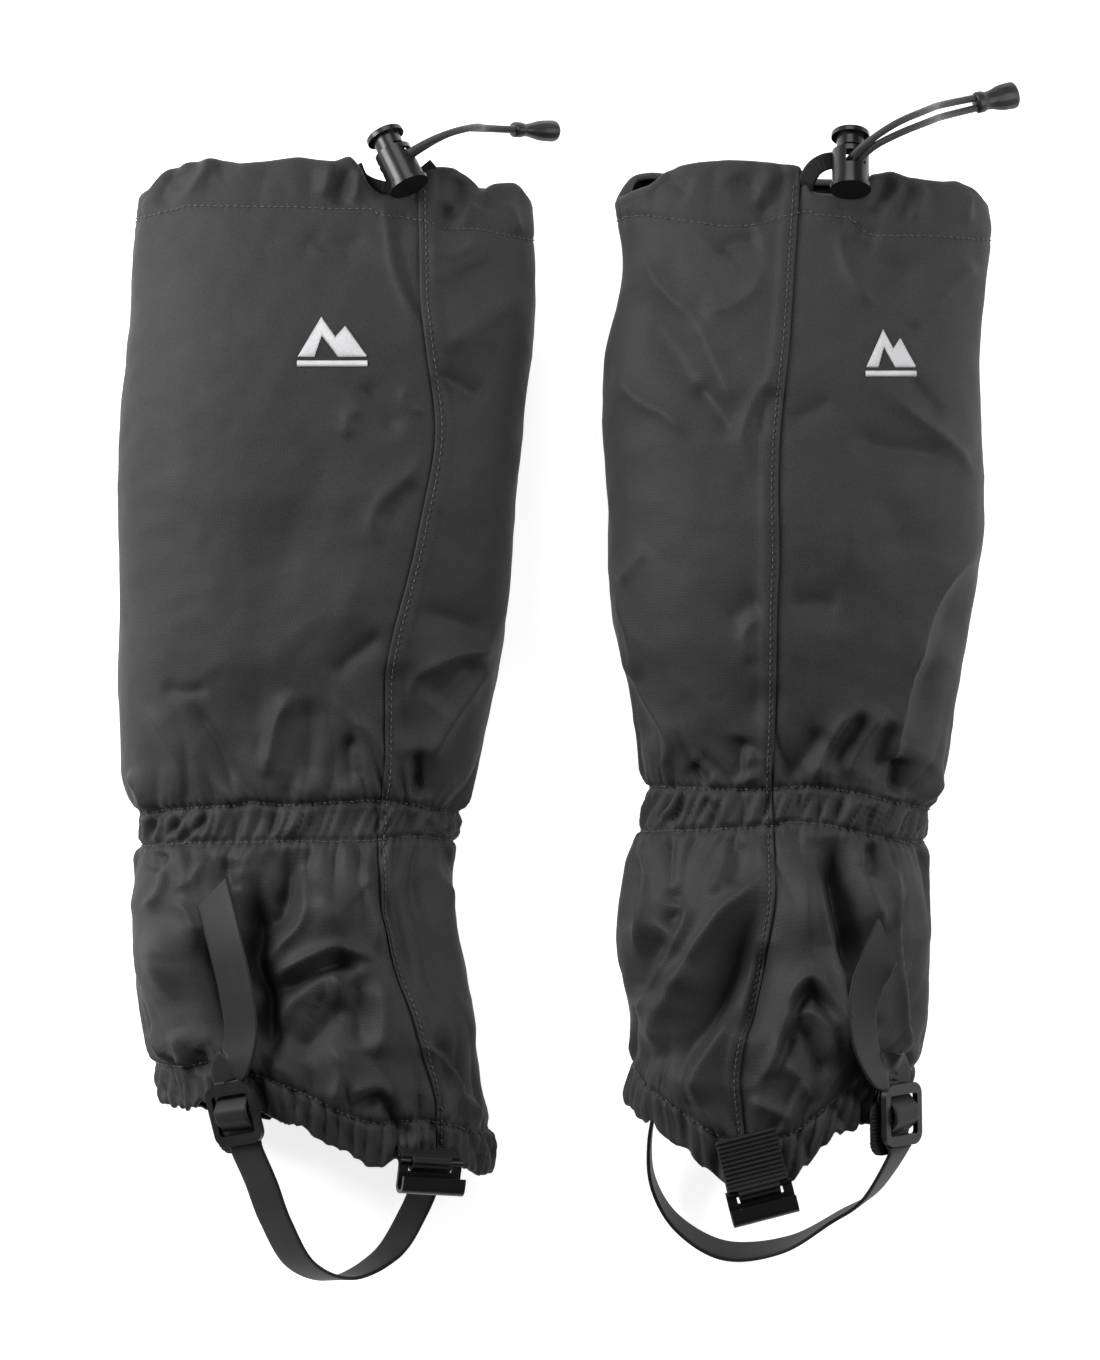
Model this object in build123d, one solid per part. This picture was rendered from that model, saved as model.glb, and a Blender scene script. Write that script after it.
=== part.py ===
from build123d import *
import math
import os
from dataclasses import dataclass
from functools import lru_cache

# A pair of hiking gaiters, lying on their backs side by side on a flat surface. Millimetres.
# +Z is up, away from the surface. +Y runs up the leg, from the boot hem to the top rim.
# The right-leg gaiter is on the -X side and is rolled so that its outer side faces up.
# The left-leg gaiter is on the +X side and its front faces up.
# The origin is on the surface, under the middle of the pair.

# Cloth and bands: each is a layer between two depths below the outer surface of the tube.
CLOTH = (0.0, 1.0)
ELASTIC = (1.3, 2.3)
CASING = (2.6, 3.4)
CHANNEL = (1.3, 7.2)
CHANNEL_BORE = (2.1, 6.4)
DRAWCORD = (2.8, 5.7)
EMBLEM = (-0.5, 0.0)

RIM_HEM = 18.0
CHANNEL_WALL = 1.0
DRAWCORD_BELOW_RIM = 6.0
ANKLE_CASING_H = 19.0
ANKLE_ELASTIC_H = 14.0
HEM_CASING_H = 15.0
HEM_ELASTIC_H = 10.0
NOTCH = (26.0, 34.0, 26.0)

# The tube's section: a flat underside and an arched top.
FLAT_SHARE = 0.55
LOW_SHARE = 0.87
WAIST_SHARE = 0.36
SHOULDER_SHARE = 0.75
UNDERSIDE_SINK = 0.4

CORD_D = 3.0
CORD_PITCH = 3.5
CORD_BACK = 7.0
CORD_FRONT = 10.0
END_LENGTH = 19.0
END_GAP = 0.4
END_COLLAR = (8.6, 6.2)
END_BELL = (11.0, 8.6)
END_WAIST = (7.6, 5.4)

BARREL_D = 15.0
BARREL_TOP = 5.0
BARREL_FOOT = 12.0
BARREL_WALL = 1.6
FLANGE_D = 16.5
FLANGE_T = 1.6
STEM_D = 11.2
STEM_TOP = 11.5
STEM_FOOT = 5.5
BUTTON_D = 15.5
BUTTON_T = 2.4
BUTTON_TRAVEL = 4.0
EYE_W = 8.4
EYE_H = 5.6
SPRING_D = 8.0
SPRING_WIRE = 0.9
SPRING_TURNS = 4
RIBBON_W = 7.0
RIBBON_T = 1.0

STRAP_W = 16.0
STRAP_T = 1.5
BUCKLE_W = 23.0
BUCKLE_L = 25.0
BUCKLE_T = 2.6
BUCKLE_CORNER = 5.0
SLOT_W = 17.4
BAR_W = 2.8
BAR_PITCH = 9.6
WEAVE_Z = 2.5
WEAVE_FLAT = 2.0
WEAVE_LOW = 16.0
WEAVE_HIGH = 13.5
TAIL_GAP = 3.0
STRAP_LAP = 0.5
STRAP_STEP = 0.04
WEAVE_BEND = 1.6
BACKING_SIZE = (23.0, 22.0, 1.4)
BACKING_SHIFT = (-4.0, -5.0)
BACKING_GAP = 0.6

TAB_W = 25.0
TAB_L = 20.0
TAB_T = 2.4
TAB_LOOP_W = 17.0
TAB_LOOP_T = 1.1
RIB_PITCH = 1.8
RIB_T = 0.5
HOOK_W = 27.0
HOOK_T = 1.4
HOOK_BAR_D = 3.0
HOOK_PLATE_TOP = 4.0
HOOK_PLATE_END = 12.0
HOOK_GAP = 4.6
HOOK_RETURN = 6.5
PIVOT_GAP = 0.4

FAR = 600.0


@dataclass(frozen=True)
class Gaiter:
    """One gaiter. Stations are (y, middle x, half width, height, gap under it) down the leg."""

    name: str
    stations: tuple
    ankle_y: float
    rim_point: tuple
    rim_normal: tuple
    hem_point: tuple
    hem_normal: tuple
    seam_point: tuple
    seam_normal: tuple
    outer_is_positive: bool
    lock_centre: tuple
    lock_foot: tuple
    eye_axis: tuple
    tail_a: tuple
    tail_b: tuple
    end_axis: tuple
    tether_route: tuple
    tether_across: tuple
    strap_route: tuple
    strap_across: tuple
    tail_route: tuple
    tail_across: tuple
    buckle_centre: tuple
    buckle_up: tuple
    buckle_across: tuple
    hook_centre: tuple
    hook_down: tuple
    hook_across: tuple
    emblem_centre: tuple
    emblem_size: tuple


RIGHT = Gaiter(
    name="right",
    stations=(
        (236, -86, 76, 38, 0),
        (200, -88, 79.5, 46, 0),
        (150, -91, 81.5, 62, 0),
        (85, -94.8, 80, 70, 0),
        (20, -97.5, 76, 68, 0),
        (-22, -101.6, 71, 58, 1.5),
        (-47, -102.5, 63.5, 49, 4),
        (-66, -104.5, 64.8, 56, 3),
        (-100, -102.5, 66.5, 68, 0),
        (-132, -98.5, 66.5, 72, 0),
        (-162, -94, 63, 66, 0),
        (-214, -86, 58, 56, 0),
    ),
    ankle_y=-49.0,
    rim_point=(-86, 214, 20),
    rim_normal=(0.045, 1, 0),
    hem_point=(-94, -173, 33),
    hem_normal=(-0.28, -1, -0.12),
    seam_point=(-58, 0, 66),
    seam_normal=(0.72, 0, -0.69),
    outer_is_positive=False,
    lock_centre=(-63.4, 218.0, 47.5),
    lock_foot=(0.40, -0.82, 0.41),
    eye_axis=(0.78, 0.53, 0.33),
    tail_a=((-44.4, 229.1, 48.4), (-35.7, 231.6, 37.0), (-33.0, 231.6, 20.3), (-18.5, 231.0, 13.7)),
    tail_b=((-42.6, 229.9, 52.8), (-31.3, 232.4, 39.2), (-29.0, 231.4, 22.8), (-16.5, 231.0, 17.3)),
    end_axis=(0.874, -0.032, -0.485),
    tether_route=((-48, 213.6, 38), (-48.5, 217.5, 38.5), (-51.5, 219.5, 39), (-55, 218.5, 39.5)),
    tether_across=(0, 0, 1),
    strap_route=(
        (-45, -164, 16),
        (-50, -184, 12),
        (-57, -202, 9.5),
        (-68, -219, 9.5),
        (-86, -228.5, 16),
        (-102, -223, 30),
        (-112, -206, 45),
        (-118, -190, 56),
    ),
    strap_across=((0.66, 0.05, 0.75), (0.72, 0, 0.70), (0.80, 0.13, 0.58)),
    tail_route=((-128.5, -122, 71), (-133.6, -96, 67), (-136, -73, 61.5)),
    tail_across=((0.80, 0.13, 0.58), (0.82, 0.2, 0.52)),
    buckle_centre=(-128.5, -163.0, 67.5),
    buckle_up=(-0.24, 0.96, 0.11),
    buckle_across=(0.80, 0.13, 0.58),
    hook_centre=(-50.2, -182.0, 58.0),
    hook_down=(0.0, -0.98, -0.2),
    hook_across=(0.92, -0.05, -0.39),
    emblem_centre=(-89.4, 146.0),
    emblem_size=(28.0, 20.0),
)

LEFT = Gaiter(
    name="left",
    stations=(
        (236, 95, 71, 38, 0),
        (200, 98, 75.5, 46, 0),
        (165, 98.5, 73.5, 58, 0),
        (130, 95, 76, 68, 0),
        (75, 95, 75.5, 73, 0),
        (25, 93.8, 70.5, 70, 0),
        (-15, 95, 62, 60, 1.5),
        (-47, 90.5, 57.5, 49, 4),
        (-66, 88.3, 60.5, 57, 3),
        (-98, 87.3, 63, 70, 0),
        (-132, 89.5, 59, 74, 0),
        (-162, 84, 54.5, 68, 0),
        (-218, 80, 48, 58, 0),
    ),
    ankle_y=-46.0,
    rim_point=(97, 213, 20),
    rim_normal=(0.02, 1, 0),
    hem_point=(85, -168, 33),
    hem_normal=(0, -1, -0.7),
    seam_point=(88.5, 0, 33),
    seam_normal=(1, -0.052, 0),
    outer_is_positive=True,
    lock_centre=(117.8, 217.5, 46.5),
    lock_foot=(0.0, -0.88, 0.47),
    eye_axis=(0.35, 0.44, 0.83),
    tail_a=((137.1, 229.6, 59.0), (150.5, 234.7, 48.0), (154.0, 236.2, 25.0), (167.9, 239.5, 15.5)),
    tail_b=((134.9, 233.4, 61.0), (149.5, 239.3, 48.0), (153.0, 240.8, 25.0), (167.1, 243.5, 15.5)),
    end_axis=(0.815, 0.175, -0.553),
    tether_route=((98.8, 214.3, 41), (100.5, 219, 42), (105, 222, 43.5), (109.4, 221, 45)),
    tether_across=(0, 0, 1),
    strap_route=(
        (41.5, -152, 26),
        (37.5, -173, 21),
        (39, -191, 15),
        (49, -207, 10.5),
        (68, -217.5, 9),
        (92, -215, 13),
        (112, -204, 25),
        (125.5, -195.5, 36.5),
    ),
    strap_across=((0.05, 0.1, -0.99), (0.05, 0.5, -0.86), (0.62, 0.10, -0.78)),
    tail_route=((125.5, -132, 69.5), (124, -115, 70), (128, -95, 65)),
    tail_across=((0.72, 0.10, -0.68), (0.80, 0.0, -0.6)),
    buckle_centre=(138.3, -163.0, 53.0),
    buckle_up=(-0.18, 0.93, 0.32),
    buckle_across=(0.62, 0.10, -0.78),
    hook_centre=(81.0, -192.5, 66.6),
    hook_down=(0.22, -0.96, -0.15),
    hook_across=(0.96, 0.25, -0.07),
    emblem_centre=(134.0, 141.5),
    emblem_size=(20.0, 19.0),
)

PAIR = (RIGHT, LEFT)


def frame(origin, x_dir, z_dir):
    """A plane whose x_dir is squared up to its z_dir."""
    normal = Vector(*z_dir).normalized()
    side = Vector(*x_dir)
    side = (side - normal * side.dot(normal)).normalized()
    return Plane(origin=origin, x_dir=side, z_dir=normal)


def half_space(point, normal):
    """Everything on the side of the point that the normal shows."""
    plane = Plane(origin=point, z_dir=normal)
    return plane * Box(FAR, FAR, FAR, align=(Align.CENTER, Align.CENTER, Align.MIN))


def section(station, depth):
    """The tube's outline at one station, drawn in by a depth."""
    y, middle, half, height, gap = station
    sink = UNDERSIDE_SINK if depth <= 0 else 0
    bottom = gap + depth - sink
    waist = gap + WAIST_SHARE * height
    rise = (1 - WAIST_SHARE) * height - depth
    reach = half - depth
    flat = FLAT_SHARE * reach
    low_z = waist - (waist - bottom) * math.sqrt(1 - LOW_SHARE**2)
    shoulder = SHOULDER_SHARE * reach
    shoulder_z = waist + rise * math.sqrt(1 - SHOULDER_SHARE**2)
    plane = Plane(origin=(middle, y, 0), x_dir=(1, 0, 0), z_dir=(0, -1, 0))
    base = Line((-flat, bottom), (flat, bottom))
    side = [(LOW_SHARE * reach, low_z), (reach, waist), (shoulder, shoulder_z)]
    mirrored = [(-x, z) for x, z in reversed(side)]
    arch = Spline((flat, bottom), *side, (0, waist + rise), *mirrored, (-flat, bottom))
    return plane * make_face([base, arch])


@lru_cache(maxsize=None)
def core(gaiter, depth):
    """The filled tube, drawn in by a depth, with its underside on the surface."""
    solid = loft([section(station, depth) for station in gaiter.stations], ruled=True)
    return solid & half_space((0, 0, 0), (0, 0, 1))


def layer(gaiter, depths):
    """The wall between two depths below the outer surface."""
    return core(gaiter, depths[0]) - core(gaiter, depths[1])


def trimmed(gaiter, solid, rim_drop=0.0, hem_rise=0.0):
    """A solid cut off at the rim and at the hem, moved in from them as given."""
    rim = Vector(*gaiter.rim_point) - Vector(*gaiter.rim_normal).normalized() * rim_drop
    hem = Vector(*gaiter.hem_point) - Vector(*gaiter.hem_normal).normalized() * hem_rise
    return solid - half_space(rim, gaiter.rim_normal) - half_space(hem, gaiter.hem_normal)


def below_rim(gaiter, solid, distance):
    """The part of a solid that lies within a distance of the rim."""
    edge = Vector(*gaiter.rim_point) - Vector(*gaiter.rim_normal).normalized() * distance
    return solid & half_space(edge, gaiter.rim_normal)


def above_hem(gaiter, solid, distance):
    """The part of a solid that lies within a distance of the hem."""
    edge = Vector(*gaiter.hem_point) - Vector(*gaiter.hem_normal).normalized() * distance
    return solid & half_space(edge, gaiter.hem_normal)


def at_ankle(gaiter, solid, height):
    """The part of a solid in a band round the ankle."""
    return solid & Pos(0, gaiter.ankle_y, 0) * Box(FAR, height, FAR)


def notch(gaiter):
    """The opening in the rim through which the drawcord leaves its channel."""
    return Pos(*gaiter.lock_centre) * Box(*NOTCH)


def panels(gaiter):
    """The two cloth panels, which meet at the front and back seams."""
    cloth = trimmed(gaiter, layer(gaiter, CLOTH)) - notch(gaiter)
    positive = cloth & half_space(gaiter.seam_point, gaiter.seam_normal)
    negative = cloth - half_space(gaiter.seam_point, gaiter.seam_normal)
    outer, inner = (positive, negative) if gaiter.outer_is_positive else (negative, positive)
    return {"outer_panel": outer, "inner_panel": inner}


def rim_channel(gaiter):
    """The drawcord's channel inside the top hem: a hollow ring, open at the notch."""
    ring = below_rim(gaiter, trimmed(gaiter, layer(gaiter, CHANNEL), rim_drop=1.0), RIM_HEM)
    bore = layer(gaiter, CHANNEL_BORE)
    bore = trimmed(gaiter, bore, rim_drop=1.0 + CHANNEL_WALL)
    bore = below_rim(gaiter, bore, RIM_HEM - CHANNEL_WALL)
    return ring - bore - notch(gaiter)


def drawcord(gaiter):
    """The part of the drawcord that runs round the leg inside the channel."""
    ring = trimmed(gaiter, layer(gaiter, DRAWCORD), rim_drop=DRAWCORD_BELOW_RIM)
    return below_rim(gaiter, ring, DRAWCORD_BELOW_RIM + CORD_D) - notch(gaiter)


def bands(gaiter):
    """The elastics at the ankle and the hem, each with the casing that covers it."""
    return {
        "ankle_elastic": at_ankle(gaiter, layer(gaiter, ELASTIC), ANKLE_ELASTIC_H),
        "ankle_casing": at_ankle(gaiter, layer(gaiter, CASING), ANKLE_CASING_H),
        "hem_elastic": above_hem(
            gaiter,
            trimmed(gaiter, layer(gaiter, ELASTIC), hem_rise=3.0),
            3.0 + HEM_ELASTIC_H,
        ),
        "hem_casing": above_hem(
            gaiter,
            trimmed(gaiter, layer(gaiter, CASING), hem_rise=1.0),
            HEM_CASING_H,
        ),
    }


def emblem(gaiter):
    """A raised motif of two peaks over a base line, embroidered on the outer panel."""
    width, height = gaiter.emblem_size
    peaks = Polyline(
        (-width / 2, -height * 0.3),
        (-width * 0.16, height / 2),
        (width * 0.04, height * 0.1),
        (width * 0.18, height * 0.32),
        (width / 2, -height * 0.3),
        close=True,
    )
    valley = Polyline(
        (-width * 0.26, -height * 0.3),
        (-width * 0.15, height * 0.12),
        (width * 0.08, -height * 0.3),
        close=True,
    )
    base = Pos(0, -height * 0.43) * Rectangle(width, height * 0.12)
    motif = make_face(peaks) - make_face(valley) + base
    column = extrude(Pos(gaiter.emblem_centre[0], gaiter.emblem_centre[1], 0) * motif, FAR / 2)
    upper = half_space((0, 0, 20), (0, 0, 1))
    return column & upper & layer(gaiter, EMBLEM)


def lock_frame(gaiter):
    """The cord lock's frame: x through its eye, z towards its button."""
    foot = Vector(*gaiter.lock_foot)
    return frame(gaiter.lock_centre, gaiter.eye_axis, (-foot.X, -foot.Y, -foot.Z))


def lock_body(gaiter):
    """The barrel with its foot flange, bored for the plunger and pierced by the eye."""
    length = BARREL_TOP + BARREL_FOOT
    barrel = Pos(0, 0, -BARREL_FOOT) * extrude(Circle(BARREL_D / 2), length)
    flange = Pos(0, 0, -BARREL_FOOT) * extrude(Circle(FLANGE_D / 2), FLANGE_T)
    bore_radius = STEM_D / 2 + 0.3
    bore = Pos(0, 0, -BARREL_FOOT + BARREL_WALL) * extrude(Circle(bore_radius), length)
    eye = Box(2 * BARREL_D, EYE_W, EYE_H)
    return lock_frame(gaiter) * (barrel + flange - bore - eye)


def lock_plunger(gaiter):
    """The button and its stem, slotted so that it can travel past the cords."""
    stem = Pos(0, 0, -STEM_FOOT) * extrude(Circle(STEM_D / 2), STEM_FOOT + STEM_TOP)
    button = Pos(0, 0, STEM_TOP) * extrude(Circle(BUTTON_D / 2), BUTTON_T)
    button = fillet(button.edges().group_by(Axis.Z)[-1], 0.9)
    slot = Pos(0, 0, BUTTON_TRAVEL / 2) * Box(2 * BARREL_D, EYE_W, EYE_H + BUTTON_TRAVEL)
    return lock_frame(gaiter) * (stem + button - slot)


def lock_spring(gaiter):
    """The coil spring between the plunger's foot and the barrel's floor."""
    floor = -BARREL_FOOT + BARREL_WALL
    height = -STEM_FOOT - floor
    pitch = (height - SPRING_WIRE) / SPRING_TURNS
    rings = [
        Pos(0, 0, floor + SPRING_WIRE / 2 + pitch * (turn + 0.5)) * Torus(SPRING_D / 2, SPRING_WIRE / 2)
        for turn in range(SPRING_TURNS)
    ]
    return lock_frame(gaiter) * Compound(rings)


def tail_route(gaiter, side):
    """A free cord's route: straight through the lock's eye, then down to the end piece."""
    lock = lock_frame(gaiter)
    offset = side * CORD_PITCH / 2
    start = lock.from_local_coords((-CORD_BACK, offset, 0))
    leave = lock.from_local_coords((CORD_FRONT, offset, 0))
    hung = gaiter.tail_a if side > 0 else gaiter.tail_b
    return [start, leave, *[Vector(*point) for point in hung]]


def cord_tube(route):
    """A cord of straight runs joined by arcs, with the radii of its bends."""
    radii = []
    for before, corner, after in zip(route, route[1:], route[2:]):
        arrive = corner - before
        leave = after - corner
        half_turn = math.radians(arrive.get_angle(leave)) / 2
        radii.append(0.45 * min(arrive.length, leave.length) / math.tan(half_turn))
    path = FilletPolyline(*route, radius=radii)
    start = Plane(origin=path @ 0, z_dir=path % 0)
    tube = sweep(start * Circle(CORD_D / 2), path=path)
    expected = math.pi * CORD_D**2 / 4 * path.length
    print(f"  radii {[round(radius, 1) for radius in radii]}, length {path.length:.1f}")
    print(f"  volume {tube.volume:.1f}, section times length {expected:.1f}")
    return tube


def cord_end(gaiter):
    """The moulded end that joins the two cords: a collar, a waist and a bell."""
    first = Vector(*gaiter.tail_a[-1])
    second = Vector(*gaiter.tail_b[-1])
    across = second - first
    axis = Vector(*gaiter.end_axis).normalized()
    middle = (first + second) / 2 + axis * END_GAP
    base = frame(middle, tuple(across), tuple(axis))
    profile = (
        (0.0, END_COLLAR),
        (0.18, END_COLLAR),
        (0.36, END_WAIST),
        (0.66, END_BELL),
        (1.0, END_BELL),
    )
    rings = [base * Pos(0, 0, share * END_LENGTH) * Ellipse(*(size / 2 for size in sizes)) for share, sizes in profile]
    return loft(rings, ruled=True)


def ribbon(route, across, width, thickness, first=None, last=None):
    """A flat band through a route. Its width direction turns evenly through those given."""
    points = [Vector(*point) for point in route]
    sides = [Vector(*side) for side in across]
    planes = []
    for index, point in enumerate(points):
        before = points[max(index - 1, 0)]
        after = points[min(index + 1, len(points) - 1)]
        place = index / (len(points) - 1) * (len(sides) - 1)
        low = min(int(place), len(sides) - 2)
        side = sides[low] * (1 - place + low) + sides[low + 1] * (place - low)
        planes.append(frame(point, tuple(side), tuple(after - before)))
    if first:
        planes[0] = first
    if last:
        planes[-1] = last
    return loft([plane * Rectangle(width, thickness) for plane in planes])


def buckle_frame(gaiter):
    """The buckle's frame: x across the strap, y up the leg, z away from the cloth."""
    across = Vector(*gaiter.buckle_across)
    up = Vector(*gaiter.buckle_up)
    return frame(gaiter.buckle_centre, gaiter.buckle_across, tuple(across.cross(up)))


def buckle(gaiter):
    """A three-bar slider with rounded ends and two slots."""
    plate = extrude(RectangleRounded(BUCKLE_W, BUCKLE_L, BUCKLE_CORNER), BUCKLE_T / 2, both=True)
    slot = extrude(RectangleRounded(SLOT_W, BAR_PITCH - BAR_W, 1.2), BUCKLE_T, both=True)
    for side in (-1, 1):
        plate -= Pos(0, side * BAR_PITCH / 2, 0) * slot
    return buckle_frame(gaiter) * plate


def weave():
    """The strap where it passes behind, over and behind the buckle's three bars."""
    line = FilletPolyline(
        (-WEAVE_LOW, -WEAVE_Z),
        (-BAR_PITCH + WEAVE_FLAT, -WEAVE_Z),
        (-WEAVE_FLAT, WEAVE_Z),
        (WEAVE_FLAT, WEAVE_Z),
        (BAR_PITCH - WEAVE_FLAT, -WEAVE_Z),
        (WEAVE_HIGH, -WEAVE_Z),
        radius=WEAVE_BEND,
    )
    band = Plane.YZ * trace(line, STRAP_T)
    return extrude(band, STRAP_W / 2, both=True)


def strap_end(gaiter, distance):
    """The strap's cross-section plane behind the buckle, a distance up from its middle."""
    place = buckle_frame(gaiter)
    origin = place.from_local_coords((0, distance, -WEAVE_Z))
    return Plane(origin=origin, x_dir=place.x_dir, z_dir=place.y_dir)


def foot_strap(gaiter):
    """The strap that passes under the boot and is threaded through the buckle."""
    end = strap_end(gaiter, -WEAVE_LOW + STRAP_LAP)
    route = [*gaiter.strap_route, tuple(end.origin)]
    width = STRAP_W - STRAP_STEP
    loop = ribbon(route, gaiter.strap_across, width, STRAP_T - STRAP_STEP, last=end)
    return loop + buckle_frame(gaiter) * weave()


def strap_tail(gaiter):
    """The strap's loose end, which lies on the cloth above the buckle."""
    end = strap_end(gaiter, WEAVE_HIGH + TAIL_GAP)
    route = [tuple(end.origin), *gaiter.tail_route]
    return ribbon(route, gaiter.tail_across, STRAP_W, STRAP_T, first=end)


def buckle_backing(gaiter):
    """The folded webbing patch that holds the buckle to the hem, behind the strap."""
    width, length, thickness = BACKING_SIZE
    patch = extrude(RectangleRounded(width, length, BUCKLE_CORNER), thickness)
    depth = WEAVE_Z + STRAP_T / 2 + BACKING_GAP + thickness
    return buckle_frame(gaiter) * Pos(*BACKING_SHIFT, -depth) * patch


def strap_anchor(gaiter):
    """The doubled webbing patch that is sewn over the strap's fixed end."""
    start = Vector(*gaiter.strap_route[0])
    toward = Vector(*gaiter.strap_route[1]) - start
    side = Vector(*gaiter.strap_across[0])
    place = frame(start, tuple(side), tuple(toward))
    return place * Pos(0, 0, -5.0) * Box(STRAP_W + 3, STRAP_T + 1.8, 9.6)


def hook_frame(gaiter):
    """The lace hook's frame: x along its pivot, y down the gaiter, z away from the boot."""
    down = Vector(*gaiter.hook_down)
    across = Vector(*gaiter.hook_across)
    return frame(gaiter.hook_centre, gaiter.hook_across, tuple(down.cross(across) * -1))


def hook_tab(gaiter):
    """The ribbed webbing tab, with the loop that holds the hook's pivot bar."""
    inner = HOOK_BAR_D / 2 + PIVOT_GAP
    outer = inner + TAB_LOOP_T
    ring = extrude(Circle(outer) - Circle(inner), TAB_LOOP_W / 2, both=True)
    loop = Rot(0, 90, 0) * ring
    neck = Pos(0, -outer - 1.0, 0) * Box(TAB_LOOP_W, 3.0, TAB_T)
    plate = Pos(0, -outer - 1.5 - TAB_L / 2, 0) * Box(TAB_W, TAB_L, TAB_T)
    tab = loop + neck + plate
    count = int((TAB_L - 2) / RIB_PITCH)
    for row in range(count):
        y = -outer - 3.0 - RIB_PITCH * row
        tab += Pos(0, y, TAB_T / 2 + RIB_T / 2) * Box(TAB_W, RIB_PITCH * 0.6, RIB_T)
    return hook_frame(gaiter) * tab


def lace_hook(gaiter):
    """The hook: a pivot bar between two cheeks, a plate, and a lip bent back to catch a lace."""
    bar = Rot(0, 90, 0) * Cylinder(HOOK_BAR_D / 2, HOOK_W)
    cheek_w = (HOOK_W - TAB_LOOP_W) / 2 - 1.0
    cheek_x = HOOK_W / 2 - cheek_w / 2
    cheek_l = HOOK_PLATE_TOP + 1.0
    body = bar
    for side in (-1, 1):
        body += Pos(side * cheek_x, cheek_l / 2, 0) * Box(cheek_w, cheek_l, HOOK_T)
    line = FilletPolyline(
        (HOOK_PLATE_TOP, 0),
        (HOOK_PLATE_END, 0),
        (HOOK_PLATE_END, -HOOK_GAP - HOOK_T),
        (HOOK_PLATE_END - HOOK_RETURN, -HOOK_GAP - HOOK_T),
        radius=2.4,
    )
    lip = extrude(Plane.YZ * trace(line, HOOK_T), HOOK_W / 2, both=True)
    return hook_frame(gaiter) * (body + lip)


def lock_ribbon(gaiter):
    """The short ribbon that ties the cord lock to the top hem."""
    return ribbon(gaiter.tether_route, [gaiter.tether_across] * 2, RIBBON_W, RIBBON_T)


def gaiter_parts(gaiter):
    """Every piece of one gaiter, by name."""
    return {
        **panels(gaiter),
        "rim_channel": rim_channel(gaiter),
        "drawcord": drawcord(gaiter),
        **bands(gaiter),
        "emblem": emblem(gaiter),
        "cord_lock_body": lock_body(gaiter),
        "cord_lock_plunger": lock_plunger(gaiter),
        "cord_lock_spring": lock_spring(gaiter),
        "cord_lock_ribbon": lock_ribbon(gaiter),
        "cord_tail_a": cord_tube(tail_route(gaiter, 1)),
        "cord_tail_b": cord_tube(tail_route(gaiter, -1)),
        "cord_end": cord_end(gaiter),
        "buckle": buckle(gaiter),
        "buckle_backing": buckle_backing(gaiter),
        "foot_strap": foot_strap(gaiter),
        "strap_tail": strap_tail(gaiter),
        "strap_anchor": strap_anchor(gaiter),
        "lace_hook_tab": hook_tab(gaiter),
        "lace_hook": lace_hook(gaiter),
    }


def main():
    os.makedirs("parts", exist_ok=True)
    for gaiter in PAIR:
        print(gaiter.name)
        for name, piece in gaiter_parts(gaiter).items():
            export_step(piece, f"parts/{gaiter.name}_{name}.step")


if __name__ == "__main__":
    main()
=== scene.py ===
import math

import bmesh
import bpy
import numpy as np
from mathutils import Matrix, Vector
from mathutils.bvhtree import BVHTree


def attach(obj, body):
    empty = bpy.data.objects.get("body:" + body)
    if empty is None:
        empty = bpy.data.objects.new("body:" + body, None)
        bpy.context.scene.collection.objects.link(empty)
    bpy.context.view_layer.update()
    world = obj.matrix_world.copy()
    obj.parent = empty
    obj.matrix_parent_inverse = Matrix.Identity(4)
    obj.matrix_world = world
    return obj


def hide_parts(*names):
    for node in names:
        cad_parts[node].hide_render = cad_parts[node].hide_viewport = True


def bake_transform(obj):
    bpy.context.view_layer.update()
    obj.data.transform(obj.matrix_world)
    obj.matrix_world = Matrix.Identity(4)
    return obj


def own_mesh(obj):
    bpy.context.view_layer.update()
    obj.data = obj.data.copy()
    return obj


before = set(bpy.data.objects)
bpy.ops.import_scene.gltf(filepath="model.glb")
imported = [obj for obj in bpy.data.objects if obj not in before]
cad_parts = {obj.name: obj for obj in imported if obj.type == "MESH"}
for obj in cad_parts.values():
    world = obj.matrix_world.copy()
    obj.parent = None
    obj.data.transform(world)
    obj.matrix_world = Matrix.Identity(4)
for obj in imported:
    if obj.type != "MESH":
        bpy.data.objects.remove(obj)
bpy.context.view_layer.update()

MM = 0.001
VIEW_HEIGHT = 0.544
CAMERA_PLACE = (-0.0024, 0.0108, 1.2)

# Camera: straight down on the pair, orthographic.
camera = bpy.data.objects.new("camera", bpy.data.cameras.new("camera"))
bpy.context.scene.collection.objects.link(camera)
camera.data.type = "ORTHO"
camera.data.ortho_scale = VIEW_HEIGHT
camera.data.clip_start = 0.01
camera.location = CAMERA_PLACE
bpy.context.scene.camera = camera


# ---------------------------------------------------------------- small helpers

def link(name, mesh):
    """A new object in the scene for a mesh or curve."""
    obj = bpy.data.objects.new(name, mesh)
    bpy.context.scene.collection.objects.link(obj)
    return obj


def make_mesh(name, verts_mm, faces, smooth=True, uv=None):
    """A mesh object from points in millimetres and quads or triangles."""
    mesh = bpy.data.meshes.new(name)
    verts = (np.asarray(verts_mm, float) * MM).tolist()
    mesh.from_pydata(verts, [], [tuple(int(i) for i in face) for face in faces])
    if uv is not None:
        layer = mesh.uv_layers.new(name="UVMap")
        loops = np.empty(len(mesh.loops), dtype=np.int32)
        mesh.loops.foreach_get("vertex_index", loops)
        layer.data.foreach_set("uv", np.asarray(uv, np.float32)[loops].ravel())
    if smooth:
        mesh.polygons.foreach_set("use_smooth", [True] * len(mesh.polygons))
    mesh.update()
    return link(name, mesh)


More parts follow.
